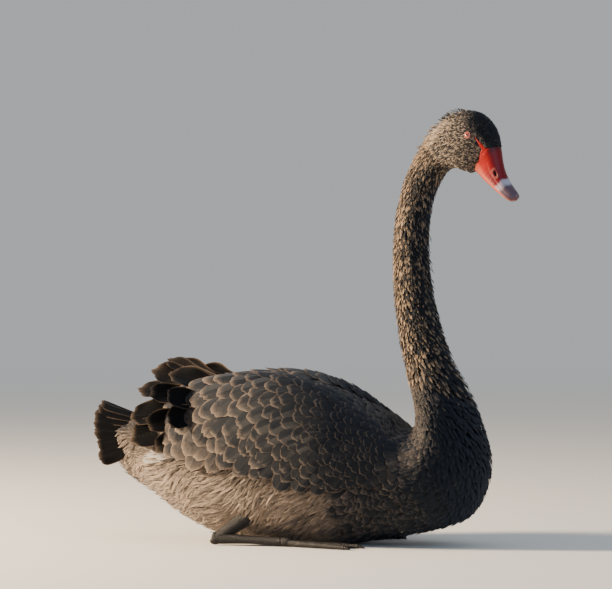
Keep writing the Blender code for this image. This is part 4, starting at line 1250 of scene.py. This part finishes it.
def plates(count, depth, joints=0, swell=0.0):
    """Grooves between the plates on a limb's top, with its joints."""
    def relief(t, a):
        top = eased(np.cos(a), 0.35, 0.65)
        groove = np.exp(-((np.mod(t * count + 0.10 * np.cos(3 * a), 1.0) - 0.5) / 0.11) ** 2)
        net = np.exp(-((np.mod(t * count * 1.3 + a * 2.2, 1.0) - 0.5) / 0.14) ** 2)
        net = np.maximum(net, np.exp(-((np.mod(t * count * 1.3 - a * 2.2, 1.0) - 0.5) / 0.14) ** 2))
        return swell * np.cos(math.tau * joints * t) - depth * (top * groove + 0.6 * (1 - top) * net)
    return relief


def web_sheet(first, second):
    """A surface function for the skin between two toes, with wrinkles and a scalloped front edge."""
    def surface(t, a, height):
        t, a, _ = np.broadcast_arrays(t, a, height)
        c = (1 - np.cos(a)) / 2
        shares = 0.06 + 0.86 * t
        (first_x, first_y), (second_x, second_y) = toe_line(first, shares), toe_line(second, shares)
        x = first_x * (1 - c) + second_x * c - 0.040 * c * (1 - c) * shares**2
        y = first_y * (1 - c) + second_y * c
        wrinkles = 0.00022 * np.sin(26 * c + 5 * t) * eased(c * (1 - c), 0, 0.1)
        middle = 0.0017 + 0.0016 * np.abs(2 * c - 1) ** 3 + wrinkles
        z = middle + 0.0007 * np.sign(np.sin(a)) * np.abs(np.sin(a)) ** 0.35
        return np.stack([x - ORIGIN_X, y, np.maximum(z, FLOOR_GAP)], -1)
    return surface


def joined(name, parts):
    """One object made of several."""
    for other in list(bpy.context.selected_objects):
        other.select_set(False)
    for part in parts:
        part.select_set(True)
    bpy.context.view_layer.objects.active = parts[0]
    bpy.ops.object.join()
    parts[0].name = name
    parts[0].select_set(False)
    return parts[0]


def limb_skin(surface, rings, sides, relief):
    """The closed skin of a limb, with its rings closer together at the ends."""
    rows = (np.linspace(0, 1, rings) + 0.5 - 0.5 * np.cos(np.linspace(0, math.pi, rings))) / 2
    return hide("limb", surface, rows, np.arange(sides) * math.tau / sides, relief, even_tone)


def smooth_skin(t, a):
    """No relief."""
    return 0 * t


shank = (SHANK_END - HEEL) / np.linalg.norm(SHANK_END - HEEL)
thigh = limb(
    [THIGH_START, (THIGH_START + HEEL) / 2, HEEL, HEEL + [-0.0075, -0.0010, -0.0006]],
    (0.0148, 0.0108, 0.0082, 0.0080),
)
tarsus = limb(
    [HEEL - shank * 0.0080, HEEL + shank * 0.008, (HEEL + SHANK_END) / 2, SHANK_END - shank * 0.012,
     SHANK_END + shank * 0.002],
    (0.0086, 0.0078, 0.0058, 0.0060, TARSUS_RADIUS),
)
leg_skin = joined("leg_skin_right", [
    limb_skin(thigh, 90, 32, plates(18, 0.0003)), limb_skin(tarsus, 150, 36, plates(26, 0.00045)),
])
instep = limb(
    [SHANK_END - shank * 0.003, SHANK_END + shank * 0.006, SHANK_END + shank * 0.016],
    (TARSUS_RADIUS, TARSUS_RADIUS * 1.05, TARSUS_RADIUS * 0.72),
)
hind_toe = limb(
    [SHANK_END + step for step in ((0.008, 0.002, 0.0), (0.004, 0.012, -0.001), (-0.004, 0.019, -0.003))],
    (0.0036, 0.0030, 0.0021),
)
foot_parts = [
    limb_skin(instep, 40, 28, plates(5, 0.0004)), limb_skin(hind_toe, 30, 20, plates(7, 0.0003)),
]
for toe, joints in (("inner", 2), ("middle", 3), ("outer", 4)):
    bones = [toe_point(toe, s / 4) for s in range(5)]
    radii = [TOE_RADIUS * (1.1 - 0.42 * s / 4) for s in range(5)]
    foot_parts.append(limb_skin(limb(bones, radii), 110, 24, plates(24, 0.0003, joints, 0.00028)))
for pair in (("inner", "middle"), ("middle", "outer")):
    foot_parts.append(limb_skin(web_sheet(*pair), 40, 48, smooth_skin))
foot_skin = joined("foot_skin_right", foot_parts)
nails = []
for toe in TOES:
    end = toe_point(toe, 1.0)
    ahead = (end - toe_point(toe, 0.9)) / np.linalg.norm(end - toe_point(toe, 0.9))
    curve = [end + ahead * (0.0095 * s - 0.0015) - [0, 0, 0.0022 * s * s] for s in (0, 0.35, 0.7, 1.0)]
    nails.append(limb_skin(limb(curve, (0.0026, 0.0022, 0.0015, 0.0006)), 24, 16, smooth_skin))
claws = joined("claws_right", nails)
for piece, look, slot, nodes in (
    (leg_skin, leg_scales, "leg_skin", ("leg_",)),
    (foot_skin, leg_scales, "leg_skin", ("foot_",)),
    (claws, claw_horn, "claw", ("claw_inner_", "claw_middle_", "claw_outer_")),
):
    piece.data.materials.clear()
    piece.data.materials.append(look)
    twin = piece.copy()
    twin.data = piece.data.copy()
    twin.name = piece.name.replace("right", "left")
    bpy.context.scene.collection.objects.link(twin)
    twin.data.transform(Matrix.Diagonal((1, -1, 1, 1)))
    twin.data.flip_normals()
    for obj, side in ((piece, "right"), (twin, "left")):
        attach(obj, "root")
        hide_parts(*(node + side for node in nodes))


# The floor is a plain pale sheet that fades into the pale room. A low warm lamp stands at the bird's right
# rear, a cool fill in front of it and a soft lamp above, and the camera looks at its right side from afar.
ROOM, ROOM_LIGHT = (0.74, 0.76, 0.78, 1), 0.60
FADE_FROM, FADE_TO = 0.9, 5.5
bpy.ops.mesh.primitive_plane_add(size=60, location=(0, 0, 0))
floor = bpy.context.object
floor.name = "floor"
floor_paint, tree, sheet = finish("pale floor", {"Base Color": (0.66, 0.65, 0.62, 1), "Roughness": 0.8})
place = add_node(tree, "TexCoord", {}).outputs["Object"]
away = add_node(tree, "VectorMath", {0: place}, operation="LENGTH").outputs["Value"]
fade = add_node(
    tree, "MapRange", {"Value": away, "From Min": FADE_FROM, "From Max": FADE_TO},
    interpolation_type="SMOOTHSTEP",
)
glow = add_node(tree, "Emission", {"Color": ROOM, "Strength": ROOM_LIGHT})
blend = add_node(tree, "MixShader", {0: fade.outputs[0], 1: sheet.outputs[0], 2: glow.outputs[0]})
tree.links.new(blend.outputs[0], tree.nodes["Material Output"].inputs["Surface"])
floor.data.materials.append(floor_paint)

VIEW_TURN, VIEW_RISE, VIEW_DISTANCE = math.radians(20), math.radians(2), 8.0
VIEW_SIDE, VIEW_HEIGHT = 0.01823, 0.3346      # the middle of the view, right of the bird's middle and up
VIEW_WIDTH = 0.00135 * 612
SENSOR = 36.0
target = Vector((VIEW_SIDE * math.cos(VIEW_TURN) - ORIGIN_X, VIEW_SIDE * math.sin(VIEW_TURN), VIEW_HEIGHT))
toward_camera = Vector((
    math.sin(VIEW_TURN) * math.cos(VIEW_RISE),
    -math.cos(VIEW_TURN) * math.cos(VIEW_RISE),
    math.sin(VIEW_RISE),
))
rightward = Vector((math.cos(VIEW_TURN), math.sin(VIEW_TURN), 0))
level_camera = Vector((toward_camera.x, toward_camera.y, 0)).normalized()
# Name; how far right, nearer the camera and up from the middle of the view; size, power in watts and colour
LAMPS = (
    ("warm_key", -2.7, 0.05, 0.85, 0.5, 420, (1.0, 0.77, 0.52)),
    ("cool_fill", 1.6, 2.6, 1.2, 2.4, 38, (0.42, 0.66, 1.0)),
    ("soft_top", 0.0, 0.0, 2.6, 2.6, 14, (0.90, 0.94, 1.0)),
)
for name, right, near, up, size, power, colour in LAMPS:
    data = bpy.data.lights.new(name, "AREA")
    data.size = size
    data.energy = power
    data.color = colour
    lamp = bpy.data.objects.new(name, data)
    bpy.context.scene.collection.objects.link(lamp)
    lamp.location = target + rightward * right + level_camera * near + Vector((0, 0, up))
    lamp.rotation_euler = (target - lamp.location).to_track_quat("-Z", "Y").to_euler()

world = bpy.data.worlds.new("pale room")
world.use_nodes = True
background = world.node_tree.nodes["Background"]
background.inputs["Color"].default_value = ROOM
background.inputs["Strength"].default_value = ROOM_LIGHT
bpy.context.scene.world = world

camera_data = bpy.data.cameras.new("camera")
camera_data.sensor_width = SENSOR
camera_data.lens = SENSOR * VIEW_DISTANCE / VIEW_WIDTH
camera_data.clip_end = 60
camera = bpy.data.objects.new("camera", camera_data)
bpy.context.scene.collection.objects.link(camera)
camera.location = target + toward_camera * VIEW_DISTANCE
camera.rotation_euler = (-toward_camera).to_track_quat("-Z", "Y").to_euler()
bpy.context.scene.camera = camera
